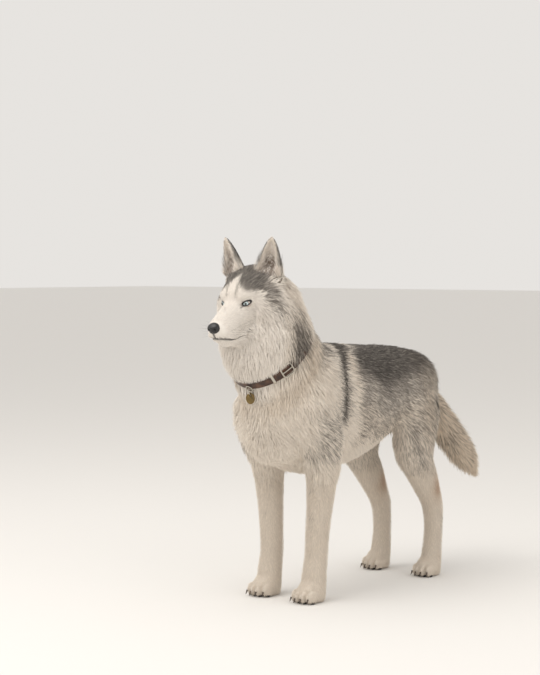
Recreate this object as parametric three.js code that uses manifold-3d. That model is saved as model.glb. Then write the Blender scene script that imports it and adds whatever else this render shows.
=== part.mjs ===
// A standing Siberian husky, life size, with its leather collar and name tag.
// Millimetres, +Z up. The dog looks along -Y, and its left side is +X. All four paws stand on Z = 0.
import * as THREE from "three";
import { mergeVertices } from "three/addons/utils/BufferGeometryUtils.js";
import Module from "manifold-3d";

const wasm = await Module();
wasm.setup();

// Driving dimensions
const GAP = 0.3; // between neighbouring pieces
const WITHERS = 608; // height of the back over the shoulders, coat included
const CHEST_DEPTH = 320; // back to breastbone, coat included
const CHEST_HALF_WIDTH = 120;
const FORE_STANCE = 68; // half the distance between the fore paws
const HIND_STANCE = 80; // half the distance between the hind paws
const HEAD_PLACE = [0, -332, 712]; // centre of the skull
const HEAD_TURN = -4; // degrees, to the dog's right
const HEAD_NOD = 19; // degrees, muzzle down
const EYE_START = [12, -20, 4]; // a point inside the head from which the left eye is found, in the head's frame
const EYE_FACING = [0.48, -0.86, 0.1];
const EYE_RADIUS = 11;
const EYE_PROUD = 1.5; // how far the eyeball stands out of the skin round it
const LID_RING = 10.5;
const LID_THICK = 2.4;
const NOSE_PLACE = [0, -149, -18];
const NOSE_SIZE = [17, 12, 13.5];
const MOUTH = [[-141, -46], [-124, -54], [-103, -59], [-82, -58], [-65, -50]]; // Y and Z in the head's frame
const MOUTH_GROOVE = 1.4;
const EAR_PLACE = [48, 24, 50];
const EAR_HEIGHT = 86; // from its place to the tip
const EAR_HALF_WIDTH = 40;
const EAR_DEPTH = 17;
const EAR_WALL = 4;
const EAR_FLOOR = 17; // how high the cup's floor is over the ear's place
const EAR_CURL = 7; // how far the edges bend to the back
const EAR_LEAN = 11; // degrees, tips outward
const EAR_REAR = 16; // degrees, tips back
const EAR_TURN = 14; // degrees, cups outward
const COLLAR = { at: [0, -256, 594], axis: [0, -0.69, 0.72], width: 24, thick: 4, sunk: 0.6 };
const LOOP_RADIUS = 8; // the loop on the strap that carries the tag's ring
const RING_RADIUS = 5.5;
const RING_WIRE = 1.3;
const TAG_RADIUS = 13;
const TAG_THICK = 1.8;
const TAG_LUG = 2;
const BLEND = 26; // how softly the body's masses run together
const RUFF_DEPTH = 11; // how far the core lies under the locks' tips on the neck and breast
const CHEEK_DEPTH = 8;
const BREECHES_DEPTH = 10;
const TAIL_CORE = 0.5; // the core's share of the brush's radius

const rad = THREE.MathUtils.degToRad;
const mirror = ([x, ...rest]) => [-x, ...rest];

// Smooth forms. A field is negative inside, and its value is close to the distance in millimetres.

function softMin(a, b, k) {
  const h = Math.max(k - Math.abs(a - b), 0) / k;
  return Math.min(a, b) - (h * h * k) / 4;
}

function blend(k, ...fields) {
  return (x, y, z) => fields.reduce((sum, f) => softMin(sum, f(x, y, z), k), 1e3);
}

// An ellipsoid, tilted about X and then turned about Z, in degrees.
function mass([cx, cy, cz], [rx, ry, rz], tilt = 0, turn = 0) {
  const [ct, st, cu, su] = [Math.cos(rad(tilt)), Math.sin(rad(tilt)), Math.cos(rad(turn)), Math.sin(rad(turn))];
  return (x, y, z) => {
    const [dx, dy, dz] = [x - cx, y - cy, z - cz];
    const [ax, ay] = [cu * dx + su * dy, -su * dx + cu * dy];
    const [by, bz] = [ct * ay + st * dz, -st * ay + ct * dz];
    const near = Math.hypot(ax / rx, by / ry, bz / rz);
    const steep = Math.hypot(ax / (rx * rx), by / (ry * ry), bz / (rz * rz));
    return steep < 1e-9 ? -Math.min(rx, ry, rz) : (near * (near - 1)) / steep;
  };
}

// Catmull-Rom between stops of any width, `steps` to each span.
function smoothStops(stops, steps) {
  const out = [];
  const at = (i) => stops[Math.min(Math.max(i, 0), stops.length - 1)];
  for (let i = 0; i < stops.length - 1; i++)
    for (let s = 0; s < steps; s++) {
      const t = s / steps;
      out.push(
        at(i).map((_, k) => {
          const [p, q, r, u] = [at(i - 1)[k], at(i)[k], at(i + 1)[k], at(i + 2)[k]];
          return q + 0.5 * t * (r - p + t * (2 * p - 5 * q + 4 * r - u + t * (3 * (q - r) + u - p)));
        }),
      );
    }
  out.push(at(stops.length - 1));
  return out;
}

// A limb or trunk through stops of [x, y, z, radius, half width across X].
function limb(stops) {
  const s = smoothStops(stops, 3);
  return (x, y, z) => {
    let best = 1e3;
    for (let i = 0; i < s.length - 1; i++) {
      const [a, b] = [s[i], s[i + 1]];
      const [dx, dy, dz] = [b[0] - a[0], b[1] - a[1], b[2] - a[2]];
      const along = (x - a[0]) * dx + (y - a[1]) * dy + (z - a[2]) * dz;
      const t = Math.min(Math.max(along / (dx * dx + dy * dy + dz * dz), 0), 1);
      const r = a[3] + t * (b[3] - a[3]);
      const w = a[4] + t * (b[4] - a[4]);
      const [ex, ey, ez] = [((x - a[0] - t * dx) * r) / w, y - a[1] - t * dy, z - a[2] - t * dz];
      best = Math.min(best, (Math.hypot(ex, ey, ez) - r) * Math.min(1, w / r));
    }
    return best;
  };
}

// The trunk. Its stops run from the breast to the rump.
const BARREL_Z = WITHERS - CHEST_DEPTH / 2;
const TRUNK = [
  [0, -250, 452, 66, 80],
  [0, -208, 468, 110, 98],
  [0, -150, BARREL_Z + 2, CHEST_DEPTH / 2 - 2, CHEST_HALF_WIDTH - 3],
  [0, -80, BARREL_Z + 1, CHEST_DEPTH / 2 - 4, CHEST_HALF_WIDTH + 2],
  [0, 0, BARREL_Z + 6, 144, CHEST_HALF_WIDTH + 2],
  [0, 80, 468, 124, CHEST_HALF_WIDTH - 5],
  [0, 150, 484, 104, 106],
  [0, 205, 498, 84, 100],
  [0, 254, 500, 62, 86],
];
const NECK = [
  [0, -160, 504, 98, 90],
  [0, -228, 552, 119, 105],
  [0, -268, 604, 118, 109],
  [0, -283, 654, 99, 106],
  [0, -286, 702, 78, 92],
];
const SHOULDER = [
  [68, -165, 530, 52, 36],
  [90, -208, 450, 66, 44],
  [92, -190, 380, 60, 44],
  [84, -168, 322, 42, 36],
];
const FORELEG = [
  [84, -174, 376, 37, 36],
  [83, -173, 318, 35, 36],
  [79, -171, 262, 34, 35],
  [74, -172, 205, 31, 32],
  [FORE_STANCE + 2, -174, 150, 29, 30],
  [FORE_STANCE, -175, 105, 29, 29],
  [FORE_STANCE, -182, 62, 29, 31],
  [FORE_STANCE, -186, 14, 29, 31],
];
const THIGH = [
  [54, 222, 490, 80, 50],
  [76, 206, 424, 86, 50],
  [84, 196, 366, 66, 44],
  [86, 186, 330, 46, 38],
];
const HINDLEG = [
  [86, 188, 352, 54, 42],
  [86, 200, 310, 52, 39],
  [85, 232, 256, 42, 34],
  [84, 266, 202, 32, 29],
  [82, 281, 165, 27, 27],
  [HIND_STANCE + 1, 285, 120, 25, 25],
  [HIND_STANCE, 282, 78, 25, 26],
  [HIND_STANCE, 274, 14, 26, 28],
];
const TAIL = [
  [0, 268, 520, 26, 26],
  [0, 310, 498, 32, 30],
  [4, 354, 452, 40, 36],
  [12, 402, 392, 47, 42],
  [22, 450, 334, 48, 42],
  [34, 494, 280, 37, 32],
  [42, 522, 240, 15, 13],
];

const trunk = limb(TRUNK);
const breast = mass([0, -244, 424], [90, 66, 98], -14);
const neck = limb(NECK);
const tailField = limb(TAIL);
const sides = [1, -1].map((side) => {
  const set = (stops) => (side > 0 ? stops : stops.map(mirror));
  const hock = mass([side * 82, 296, 174], [12, 12, 20], 20);
  return {
    side,
    name: side > 0 ? "left" : "right",
    foreStops: set(FORELEG),
    hindStops: set(HINDLEG),
    shoulder: limb(set(SHOULDER)),
    foreleg: limb(set(FORELEG)),
    thigh: limb(set(THIGH)),
    hindleg: blend(14, limb(set(HINDLEG)), hock),
  };
});
const bodyField = blend(
  BLEND,
  trunk,
  breast,
  neck,
  ...sides.flatMap((s) => [s.shoulder, s.thigh]),
);

// Where the coat stands in locks, the core lies deeper.
const ease = (t) => {
  const c = Math.min(Math.max(t, 0), 1);
  return c * c * (3 - 2 * c);
};
const ruffDepth = (y, z) => RUFF_DEPTH * ease((z - 345) / 50) * ease((-150 - y) / 50);
const breechesDepth = (y, z) => BREECHES_DEPTH * ease((y - 235) / 40) * ease((440 - z) / 40) * ease((z - 250) / 40);
const cored = (field) => (x, y, z) => field(x, y, z) + Math.max(ruffDepth(y, z), breechesDepth(y, z));
const bodyCore = cored(bodyField);

// The head, in its own frame: origin in the skull, muzzle along -Y.
const pair = (make) => [make(1), make(-1)];
const HEAD_MASSES = [
  mass([0, 14, 16], [63, 72, 54]), // cranium
  mass([0, -30, 20], [43, 38, 34], -20), // forehead
  limb([[0, -40, -12, 38, 40], [0, -76, -20, 36, 34], [0, -106, -25, 32, 29], [0, -131, -26, 25, 24]]),
  limb([[0, 40, -44, 60, 66], [0, -22, -54, 40, 47], [0, -78, -60, 26, 30], [0, -116, -58, 16, 20]]),
  ...pair((s) => mass([s * 48, 6, -18], [34, 50, 46], 0, s * 14)), // cheeks
  ...pair((s) => mass([s * 58, 34, -40], [34, 44, 44], 0, s * 20)), // cheek ruff
  ...pair((s) => mass([s * 45, 26, 36], [27, 28, 28])), // the ears' roots
  ...pair((s) => mass([s * 24, -48, 24], [15, 13, 9], -24)), // brows
  ...pair((s) => mass([s * 14, -116, -36], [16, 29, 20])), // lips
];
const headShape = blend(16, ...HEAD_MASSES);
const headMatrix = new THREE.Matrix4()
  .makeTranslation(...HEAD_PLACE)
  .multiply(new THREE.Matrix4().makeRotationZ(-rad(HEAD_TURN)))
  .multiply(new THREE.Matrix4().makeRotationX(rad(HEAD_NOD)));
const headInverse = headMatrix.clone().invert();
function inHead(x, y, z) {
  const p = new THREE.Vector3(x, y, z).applyMatrix4(headInverse);
  return [p.x, p.y, p.z];
}
const cheekDepth = (y, z) => CHEEK_DEPTH * ease((y - 2) / 30) * ease((12 - z) / 30);
const headCore = (x, y, z) => headShape(x, y, z) + cheekDepth(y, z);
const napeCore = blend(BLEND, bodyCore, (x, y, z) => headCore(...inHead(x, y, z)));
function throatCore(x, y, z) {
  const p = new THREE.Vector3(x, y, z).applyMatrix4(headMatrix);
  return softMin(headCore(x, y, z), bodyCore(p.x, p.y, p.z), BLEND);
}

// Solids

function solid(geometry) {
  const bare = geometry.clone();
  bare.deleteAttribute("normal");
  bare.deleteAttribute("uv");
  const merged = mergeVertices(bare, 1e-3);
  const corners = new Uint32Array(merged.index.array);
  const made = () =>
    new wasm.Manifold(
      new wasm.Mesh({ numProp: 3, vertProperties: merged.attributes.position.array, triVerts: corners }),
    );
  if (made().volume() > 0) return made();
  for (let i = 0; i < corners.length; i += 3)
    [corners[i + 1], corners[i + 2]] = [corners[i + 2], corners[i + 1]];
  return made();
}

function largest(made) {
  return made.decompose().reduce((a, b) => (b.volume() > a.volume() ? b : a));
}

const joined = (list) => wasm.Manifold.union(list);

// The rings of a sphere, moved: ring v of 0 to 1 goes to place(v, angle).
function rings(around, along, place) {
  const g = new THREE.SphereGeometry(1, around, along);
  const uv = g.attributes.uv;
  const p = new THREE.Vector3();
  for (let i = 0; i < uv.count; i++) {
    const v = Math.round((1 - uv.getY(i)) * along) / along;
    const turn = Math.round(uv.getX(i) * around) / around;
    p.copy(place(v, v === 0 || v === 1 ? 0 : (turn % 1) * 2 * Math.PI));
    g.attributes.position.setXYZ(i, p.x, p.y, p.z);
  }
  return solid(g);
}

// Walks out from a point until it leaves the field, at most `most` away.
function reach(field, from, way, most, step = 6) {
  let far = 0;
  const value = (t) => field(from.x + way.x * t, from.y + way.y * t, from.z + way.z * t);
  while (far < most && value(far + step) < 0) far += step;
  if (far >= most) return most;
  let [low, high] = [far, far + step];
  for (let i = 0; i < 12; i++) {
    const middle = (low + high) / 2;
    if (value(middle) < 0) low = middle;
    else high = middle;
  }
  return Math.min(low, most);
}

// A skin over the field round a path: rays leave the path at right angles, and the two ends close on it.
function sleeve(field, path, around, along, most, ends = [30, 30], packed = 0.6) {
  const curve = new THREE.CatmullRomCurve3(path.map((p) => new THREE.Vector3(...p)));
  const across = new THREE.Vector3(1, 0, 0);
  return rings(around, along, (even, angle) => {
    const v = even - (packed * Math.sin(2 * Math.PI * even)) / (2 * Math.PI);
    const at = curve.getPointAt(v);
    const axis = curve.getTangentAt(v);
    if (v === 0) return at.addScaledVector(axis, -reach(field, at, axis.clone().negate(), ends[0]));
    if (v === 1) return at.addScaledVector(axis, reach(field, at, axis, ends[1]));
    const side = across.clone().addScaledVector(axis, -across.dot(axis)).normalize();
    const up = new THREE.Vector3().crossVectors(axis, side);
    const way = side.multiplyScalar(-Math.cos(angle)).addScaledVector(up, Math.sin(angle));
    return at.addScaledVector(way, reach(field, at, way, typeof most === "number" ? most : most(v)));
  });
}

// A box that stands for one side of a plane, `shift` millimetres away from it.
const FAR = 3000;
function halfSpace([px, py, pz], normal, shift) {
  const n = new THREE.Vector3(...normal).normalize();
  const g = new THREE.BoxGeometry(FAR, FAR, FAR).translate(0, 0, FAR / 2);
  g.applyQuaternion(new THREE.Quaternion().setFromUnitVectors(new THREE.Vector3(0, 0, 1), n));
  g.translate(px + n.x * shift, py + n.y * shift, pz + n.z * shift);
  return solid(g);
}
const above = (plane) => halfSpace(plane.at, plane.facing, GAP / 2);
const below = (plane) => halfSpace(plane.at, plane.facing.map((c) => -c), GAP / 2);

// Locks. Each is a flat, tapered blade whose root is sunk in the core and whose tip stands at the coat's outline.
function seeded(seed) {
  let state = seed;
  return () => {
    state = (Math.imul(state, 1664525) + 1013904223) >>> 0;
    return state / 2 ** 32;
  };
}

function slope(field, p) {
  const h = 2;
  const along = (dx, dy, dz) => field(p.x + dx, p.y + dy, p.z + dz) - field(p.x - dx, p.y - dy, p.z - dz);
  return new THREE.Vector3(along(h, 0, 0), along(0, h, 0), along(0, 0, h)).normalize();
}

// One lock, that leaves its root along `way`, follows the field round, and stands `rise` over it at its tip.
function lock({ field, root, way, out, long, wide, thick, rise, bend }, grow) {
  const side = new THREE.Vector3().crossVectors(way, out).normalize();
  const spine = [0, 1, 2, 3, 4].map((n) => {
    const v = n / 4;
    const p = root.clone().addScaledVector(way, v * (long + 2 * grow) - 0.14 * long - grow);
    for (let k = 0; k < 3; k++) {
      const up = slope(field, p);
      p.addScaledVector(up, -field(p.x, p.y, p.z));
    }
    const up = slope(field, p);
    const height = rise * (1 - (1 - v) ** 1.6) - thick * 0.8 * (1 - v) ** 2;
    return { up, at: p.addScaledVector(up, height).addScaledVector(side, bend * v * v) };
  });
  return rings(4, 4, (v, angle) => {
    const { up, at } = spine[Math.round(v * 4)];
    const full = v === 0 || v === 1 ? 0 : (0.85 + 0.6 * v) * (1.04 - v) ** 0.7;
    return at
      .clone()
      .addScaledVector(up, full * (thick + grow) * Math.sin(angle))
      .addScaledVector(side, full * (wide + grow) * Math.cos(angle));
  });
}

// Rows of locks on a field round a stretch of a path. Angle 0 is +X, and a quarter turn is below or in front.
function shag(field, path, plan) {
  const random = seeded(plan.seed);
  const wobble = (amount) => (random() * 2 - 1) * amount;
  const curve = new THREE.CatmullRomCurve3(path.map((p) => new THREE.Vector3(...p)));
  const list = [];
  for (let row = 0; row < plan.rows; row++)
    for (let n = 0; n < plan.across; n++) {
      const share = plan.rows === 1 ? 0.5 : row / (plan.rows - 1);
      const at = curve.getPointAt(plan.from + (plan.to - plan.from) * share + wobble(0.008));
      const axis = curve.getTangentAt(plan.from + (plan.to - plan.from) * share);
      const turn = plan.start + (plan.sweep * (n + 0.25 + 0.5 * (row % 2) + wobble(0.12))) / plan.across;
      const side = new THREE.Vector3(1, 0, 0).addScaledVector(axis, -axis.x).normalize();
      const up = new THREE.Vector3().crossVectors(axis, side);
      const ray = side.multiplyScalar(Math.cos(turn)).addScaledVector(up, Math.sin(turn));
      const root = at.clone().addScaledVector(ray, reach(field, at, ray, 240, 3));
      const out = slope(field, root);
      const lie = plan.lie(root, axis);
      const way = lie.addScaledVector(out, -lie.dot(out)).normalize();
      const size = 1 + wobble(0.14);
      list.push({
        field,
        root,
        way,
        out,
        long: plan.long * size,
        wide: plan.wide * (1 + wobble(0.12)),
        thick: plan.thick,
        rise: plan.rise * (1 + wobble(0.15)),
        bend: wobble(plan.wide * 0.5),
      });
    }
  return (grow = 0) => joined(list.map((one) => lock(one, grow)));
}
const toward = (x, y, z) => () => new THREE.Vector3(x, y, z).normalize();

// Where the dog is parted
const HEAD_CUT = { at: [0, -262, 668], facing: [0, -0.82, 0.57] };
const NECK_CUT = { at: [0, -232, 516], facing: [0, -0.74, 0.67] };
const WAIST_CUT = { at: [0, 30, 450], facing: [0, -1, 0] };
const ELBOW_CUT = { at: [0, -150, 322], facing: [0, 0, 1] };
const FORE_PAW_CUT = { at: [0, -170, 66], facing: [0, 0.2, 1] };
const THIGH_CUT = { at: [0, 200, 414], facing: [0, -0.5, 1] };
const HOCK_CUT = { at: [0, 250, 212], facing: [0, -0.5, 1] };
const HIND_PAW_CUT = { at: [0, 270, 66], facing: [0, 0.2, 1] };
const FORE_INNER = 30;
const FORE_REAR = -112; // the foreleg's room ends here, and the thigh's starts at HIND_FRONT
const HIND_INNER = 12;
const HIND_FRONT = 104;

const TRUNK_PATH = [[0, -328, 434], [0, -200, 462], [0, 0, 452], [0, 150, 482], [0, 306, 496]];
const trunkSleeve = (grow) =>
  sleeve((x, y, z) => bodyCore(x, y, z) - grow, TRUNK_PATH, 28, 24, 230, [60, 40]);
const trunkSolid = trunkSleeve(0);
const trunkGrown = trunkSleeve(GAP + 0.2);
const NECK_PATH = [
  [0, -140, 480], [0, -222, 556], [0, -262, 614], [0, -272, 668], [0, -264, 720], [0, -250, 768],
];
const neckSleeve = (grow) =>
  sleeve((x, y, z) => napeCore(x, y, z) - grow, NECK_PATH, 24, 12, 240, [20, 20], 0);
const neckSolid = neckSleeve(0);

function legSolid(field, start, stops, around, along, wide) {
  return sleeve(field, [start, ...stops.map(([x, y, z]) => [x, y, z])], around, along, wide, [20, 34], 0);
}

// A paw: a low pad and four toes, the middle two further forward.
function pawField(x, y, long, wide) {
  const toes = [-1.5, -0.5, 0.5, 1.5].map((n) => {
    const place = [x + n * wide * 0.47, y - long * (0.6 - 0.13 * Math.abs(n)), 15];
    return mass(place, [wide * 0.27, long * 0.36, 17], -8, n * -7);
  });
  return blend(7, mass([x, y, 22], [wide * 0.92, long * 0.66, 27]), ...toes);
}

function pawSolid(x, y, long, wide, legField) {
  const path = [[x, y + long * 0.55, 20], [x, y, 22], [x, y - long * 0.5, 17], [x, y - long * 0.86, 14]];
  return sleeve(blend(12, pawField(x, y, long, wide), legField), path, 14, 8, 46, [10, 24], 0.5);
}

// Four blunt claws at the toes' ends.
const CLAW = { length: 11, radius: 2.6, drop: 26 };
function claws(x, y, long, wide) {
  return [-1.5, -0.5, 0.5, 1.5].map((n) => {
    const g = new THREE.ConeGeometry(CLAW.radius, CLAW.length, 5, 1);
    g.rotateX(-rad(90 - CLAW.drop)).rotateX(Math.PI).rotateZ(rad(n * 7));
    g.translate(x + n * wide * 0.49, y - long * (0.93 - 0.13 * Math.abs(n)), 9);
    return solid(g);
  });
}

const floorUp = halfSpace([0, 0, 0], [0, 0, 1], 0);
const legs = sides.map((s) => {
  const shoulderAt = [s.side * 86, -176, 420];
  const hipAt = [s.side * 74, 196, 424];
  const fore = legSolid(cored(blend(BLEND, s.foreleg, s.shoulder)), shoulderAt, s.foreStops, 14, 16, (v) => 70 - 34 * v);
  const hind = legSolid(cored(blend(BLEND, s.hindleg, s.thigh)), hipAt, s.hindStops, 16, 18, (v) => 100 - 64 * v);
  const forePaw = pawSolid(s.side * FORE_STANCE, -198, 54, 33, s.foreleg);
  const hindPaw = pawSolid(s.side * HIND_STANCE, 262, 50, 30, s.hindleg);
  const foreClaws = claws(s.side * FORE_STANCE, -198, 54, 33);
  const hindClaws = claws(s.side * HIND_STANCE, 262, 50, 30);
  return {
    ...s,
    fore: joined([fore, forePaw, ...foreClaws]).intersect(floorUp),
    hind: joined([hind, hindPaw, ...hindClaws]).intersect(floorUp),
  };
});

const material = (color, roughness, metalness = 0) =>
  new THREE.MeshStandardMaterial({ color, roughness, metalness });
const GREY_COAT = material(0x7a746b, 0.9);
const CREAM_COAT = material(0xd8cfc2, 0.9);
const NOSE_LEATHER = material(0x1d1a19, 0.45);
const EYE_GLASS = material(0x9fc4cf, 0.1);
const COLLAR_LEATHER = material(0x3a2a22, 0.6);
const STEEL = material(0xb9b4a8, 0.3, 1);
const BRASS = material(0x8f7f52, 0.35, 1);

const nodes = [];
function add(name, made, look) {
  nodes.push({ name, made: largest(made), look });
}

// The room of a leg: its own side of the body, below a cut, and before or behind a cross plane.
function legRoom(side, inner, cut, crossY, toward, grow) {
  return halfSpace([side * (inner - grow), 0, 0], [side, 0, 0], 0)
    .intersect(halfSpace(cut.at, cut.facing.map((c) => -c), GAP / 2 - grow))
    .intersect(halfSpace([0, crossY, 0], [0, toward, 0], GAP / 2 - grow));
}
const foreRoom = (l, grow) => legRoom(l.side, FORE_INNER, ELBOW_CUT, FORE_REAR, -1, grow);
const hindRoom = (l, grow) => legRoom(l.side, HIND_INNER, THIGH_CUT, HIND_FRONT, 1, grow);

const wholeTrunk = joined([trunkSolid, ...legs.flatMap((l) => [l.fore, l.hind])]);
const legRooms = joined(legs.flatMap((l) => [foreRoom(l, GAP), hindRoom(l, GAP)]));
const trunkOnly = wholeTrunk.subtract(legRooms);

// The bib under the collar, and the ruff's lower tier over it
const bib = shag(bodyCore, [[0, -200, 520], [0, -215, 440], [0, -225, 380]], {
  seed: 11, rows: 3, across: 5, from: 0.36, to: 0.86, start: 0.2, sweep: 2.74,
  long: 66, wide: 19, thick: 5.5, rise: RUFF_DEPTH - 5, lie: toward(0, -0.1, -1),
});
const lowerRuff = shag(napeCore, NECK_PATH, {
  seed: 12, rows: 1, across: 12, from: 0.34, to: 0.34, start: 0, sweep: 2 * Math.PI,
  long: 62, wide: 21, thick: 6, rise: RUFF_DEPTH - 5, lie: toward(0, 0.3, -1),
});
const chestPlain = trunkOnly.intersect(below(NECK_CUT)).intersect(above(WAIST_CUT));
const neckPlain = neckSolid.intersect(above(NECK_CUT)).intersect(below(HEAD_CUT));
const bibRoom = below(NECK_CUT).intersect(above(WAIST_CUT)).subtract(legRooms);
add("chest", chestPlain.add(bib().intersect(bibRoom)).subtract(lowerRuff(GAP + 0.1)), GREY_COAT);
add("loin_and_rump", trunkOnly.intersect(below(WAIST_CUT)), GREY_COAT);

for (const l of legs) {
  const fore = wholeTrunk.intersect(foreRoom(l, 0));
  add(`foreleg_${l.name}`, fore.intersect(above(FORE_PAW_CUT)), CREAM_COAT);
  add(`fore_paw_${l.name}`, fore.intersect(below(FORE_PAW_CUT)), CREAM_COAT);
  const breeches = shag(bodyCore, [[l.side * 78, 205, 450], [l.side * 84, 205, 400], [l.side * 86, 200, 340]], {
    seed: 21, rows: 3, across: 3, from: 0.3, to: 0.9, start: 1.5 * Math.PI - 0.75,
    sweep: 1.5, long: 60, wide: 15, thick: 5, rise: BREECHES_DEPTH - 3, lie: toward(0, 0.12, -1),
  });
  const hind = wholeTrunk.intersect(hindRoom(l, 0));
  const thigh = hind.add(breeches().intersect(hindRoom(l, 0)));
  add(`thigh_${l.name}`, thigh.intersect(above(HOCK_CUT)), GREY_COAT);
  add(`hock_${l.name}`, hind.intersect(below(HOCK_CUT)).intersect(above(HIND_PAW_CUT)), CREAM_COAT);
  add(`hind_paw_${l.name}`, hind.intersect(below(HIND_PAW_CUT)), CREAM_COAT);
}

const tailPath = TAIL.map(([x, y, z]) => [x, y, z]);
const tailCoreField = limb(TAIL.map(([x, y, z, r, w]) => [x, y, z, r * TAIL_CORE, w * TAIL_CORE]));
const tailCore = sleeve(tailCoreField, tailPath, 10, 10, 60, [20, 20]);
const brushTiers = [0, 1, 2, 3, 4, 5].map((tier) => {
  const share = 0.2 + 0.135 * tier;
  const radius = 47 * Math.sin(Math.PI * Math.min(0.28 + share * 0.62, 0.94));
  return shag(tailCoreField, tailPath, {
    seed: 31 + tier, rows: 1, across: tier === 5 ? 4 : 5, from: share, to: share,
    start: tier * 0.63, sweep: 2 * Math.PI, long: 88 - 3 * tier, wide: 19, thick: 7,
    rise: radius * (1 - TAIL_CORE) - 4, lie: (p, axis) => axis.clone(),
  });
});
const brush = joined(brushTiers.map((tier) => tier()));
add("tail", tailCore.add(brush).subtract(trunkGrown), GREY_COAT);

// Head
const HEAD_PATH = [
  [0, 84, -8], [0, 40, -4], [0, 0, -6], [0, -40, -12], [0, -76, -22], [0, -112, -27], [0, -146, -27],
];
const headSleeve = (grow) =>
  sleeve((x, y, z) => throatCore(x, y, z) - grow, HEAD_PATH, 24, 24, 150, [60, 30], 0.45);

const eyes = [1, -1].map((side) => {
  const way = new THREE.Vector3(side * EYE_FACING[0], EYE_FACING[1], EYE_FACING[2]).normalize();
  const from = new THREE.Vector3(side * EYE_START[0], EYE_START[1], EYE_START[2]);
  const depth = reach(headShape, from, way, 80, 2) - EYE_RADIUS + EYE_PROUD;
  return { name: side > 0 ? "left" : "right", side, way, centre: from.addScaledVector(way, depth) };
});

function ball(radius, at, around = 14, down = 8) {
  return solid(new THREE.SphereGeometry(radius, around, down)).translate([at.x, at.y, at.z]);
}

// Lids: an almond ring round the eyeball, thicker above.
function lids(eye) {
  const g = new THREE.TorusGeometry(LID_RING, LID_THICK, 4, 16);
  g.scale(1.0, 0.66, 1.1);
  g.lookAt(eye.way);
  g.translate(...eye.centre.clone().addScaledVector(eye.way, EYE_RADIUS - 3.4).toArray());
  return solid(g);
}

// The line of the mouth on one side, from under the nose to the corner below the eye.
function mouthLine(side) {
  const stops = MOUTH.map(([y, z]) => {
    const from = new THREE.Vector3(0, y, z);
    const way = new THREE.Vector3(side, y < MOUTH[0][0] + 1 ? -0.9 : 0, 0).normalize();
    return from.addScaledVector(way, reach(headShape, from, way, 60, 1) - 0.4);
  });
  const dot = new THREE.Shape().absarc(0, 0, MOUTH_GROOVE, 0, 2 * Math.PI);
  const curve = new THREE.CatmullRomCurve3(stops);
  const options = { steps: 8, curveSegments: 2, bevelEnabled: false, extrudePath: curve };
  return solid(new THREE.ExtrudeGeometry(dot, options));
}

// An ear: a bent, pointed shell with a cup cut into its front.
const EAR_ROOT = -30;
function earShare(rise) {
  return Math.min((rise - EAR_ROOT) / (EAR_HEIGHT - EAR_ROOT), 1);
}
function earSpread(rise) {
  const v = earShare(rise);
  const flare = 0.62 + 0.38 * Math.sin(Math.min(v / 0.34, 1) * 0.5 * Math.PI);
  return EAR_HALF_WIDTH * flare * Math.sqrt(1 - v * v) * (1 - 0.4 * v);
}

function ear(side) {
  const leaf = (low, high, inset, forward) =>
    rings(10, 9, (v, angle) => {
      const rise = low + (high - low) * v;
      const closed = v === 0 || v === 1 ? 0 : 1;
      const wide = closed * Math.max(earSpread(rise) - inset * Math.min(1, 6 * v), 0.8);
      const out = wide * Math.cos(angle);
      const bend = EAR_CURL * (out / EAR_HALF_WIDTH) ** 2 - 9 * earShare(rise) ** 2;
      return new THREE.Vector3(out, (EAR_DEPTH * wide * Math.sin(angle)) / EAR_HALF_WIDTH + forward + bend, rise);
    });
  const shell = leaf(EAR_ROOT, EAR_HEIGHT, 0, 0);
  const cup = leaf(EAR_FLOOR, EAR_HEIGHT - 2 * EAR_WALL, EAR_WALL, -EAR_WALL * 1.5);
  const place = new THREE.Matrix4()
    .makeTranslation(side * EAR_PLACE[0], EAR_PLACE[1], EAR_PLACE[2])
    .multiply(new THREE.Matrix4().makeRotationY(side * rad(EAR_LEAN)))
    .multiply(new THREE.Matrix4().makeRotationX(-rad(EAR_REAR)))
    .multiply(new THREE.Matrix4().makeRotationZ(side * rad(EAR_TURN)));
  return shell.subtract(cup).transform(place.elements);
}

const headGrown = headSleeve(GAP + 0.2);
const noseBall = rings(12, 8, (v, angle) => {
  const across = Math.sin(Math.PI * v);
  const top = angle < Math.PI ? 1 : 0.9;
  return new THREE.Vector3(
    NOSE_SIZE[0] * across * Math.cos(angle),
    NOSE_PLACE[1] + NOSE_SIZE[1] * Math.cos(Math.PI * v),
    NOSE_PLACE[2] + NOSE_SIZE[2] * top * across * Math.sin(angle),
  );
});
const nostrils = joined(
  [1, -1].map((side) => {
    const g = new THREE.SphereGeometry(1, 8, 6).scale(2.6, 6, 3.4);
    g.rotateZ(rad(side * 28)).translate(side * 6.4, NOSE_PLACE[1] - NOSE_SIZE[1] + 3, NOSE_PLACE[2] - 0.5);
    return solid(g);
  }),
);

const place = (made) => made.transform(headMatrix.elements);
const sockets = joined(eyes.map((e) => ball(EYE_RADIUS + GAP, e.centre)));
const noseNode = noseBall.subtract(headGrown).subtract(nostrils);
const headWhole = joined([headSleeve(0), ...eyes.map(lids)])
  .subtract(sockets)
  .subtract(joined([mouthLine(1), mouthLine(-1)]));
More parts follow.
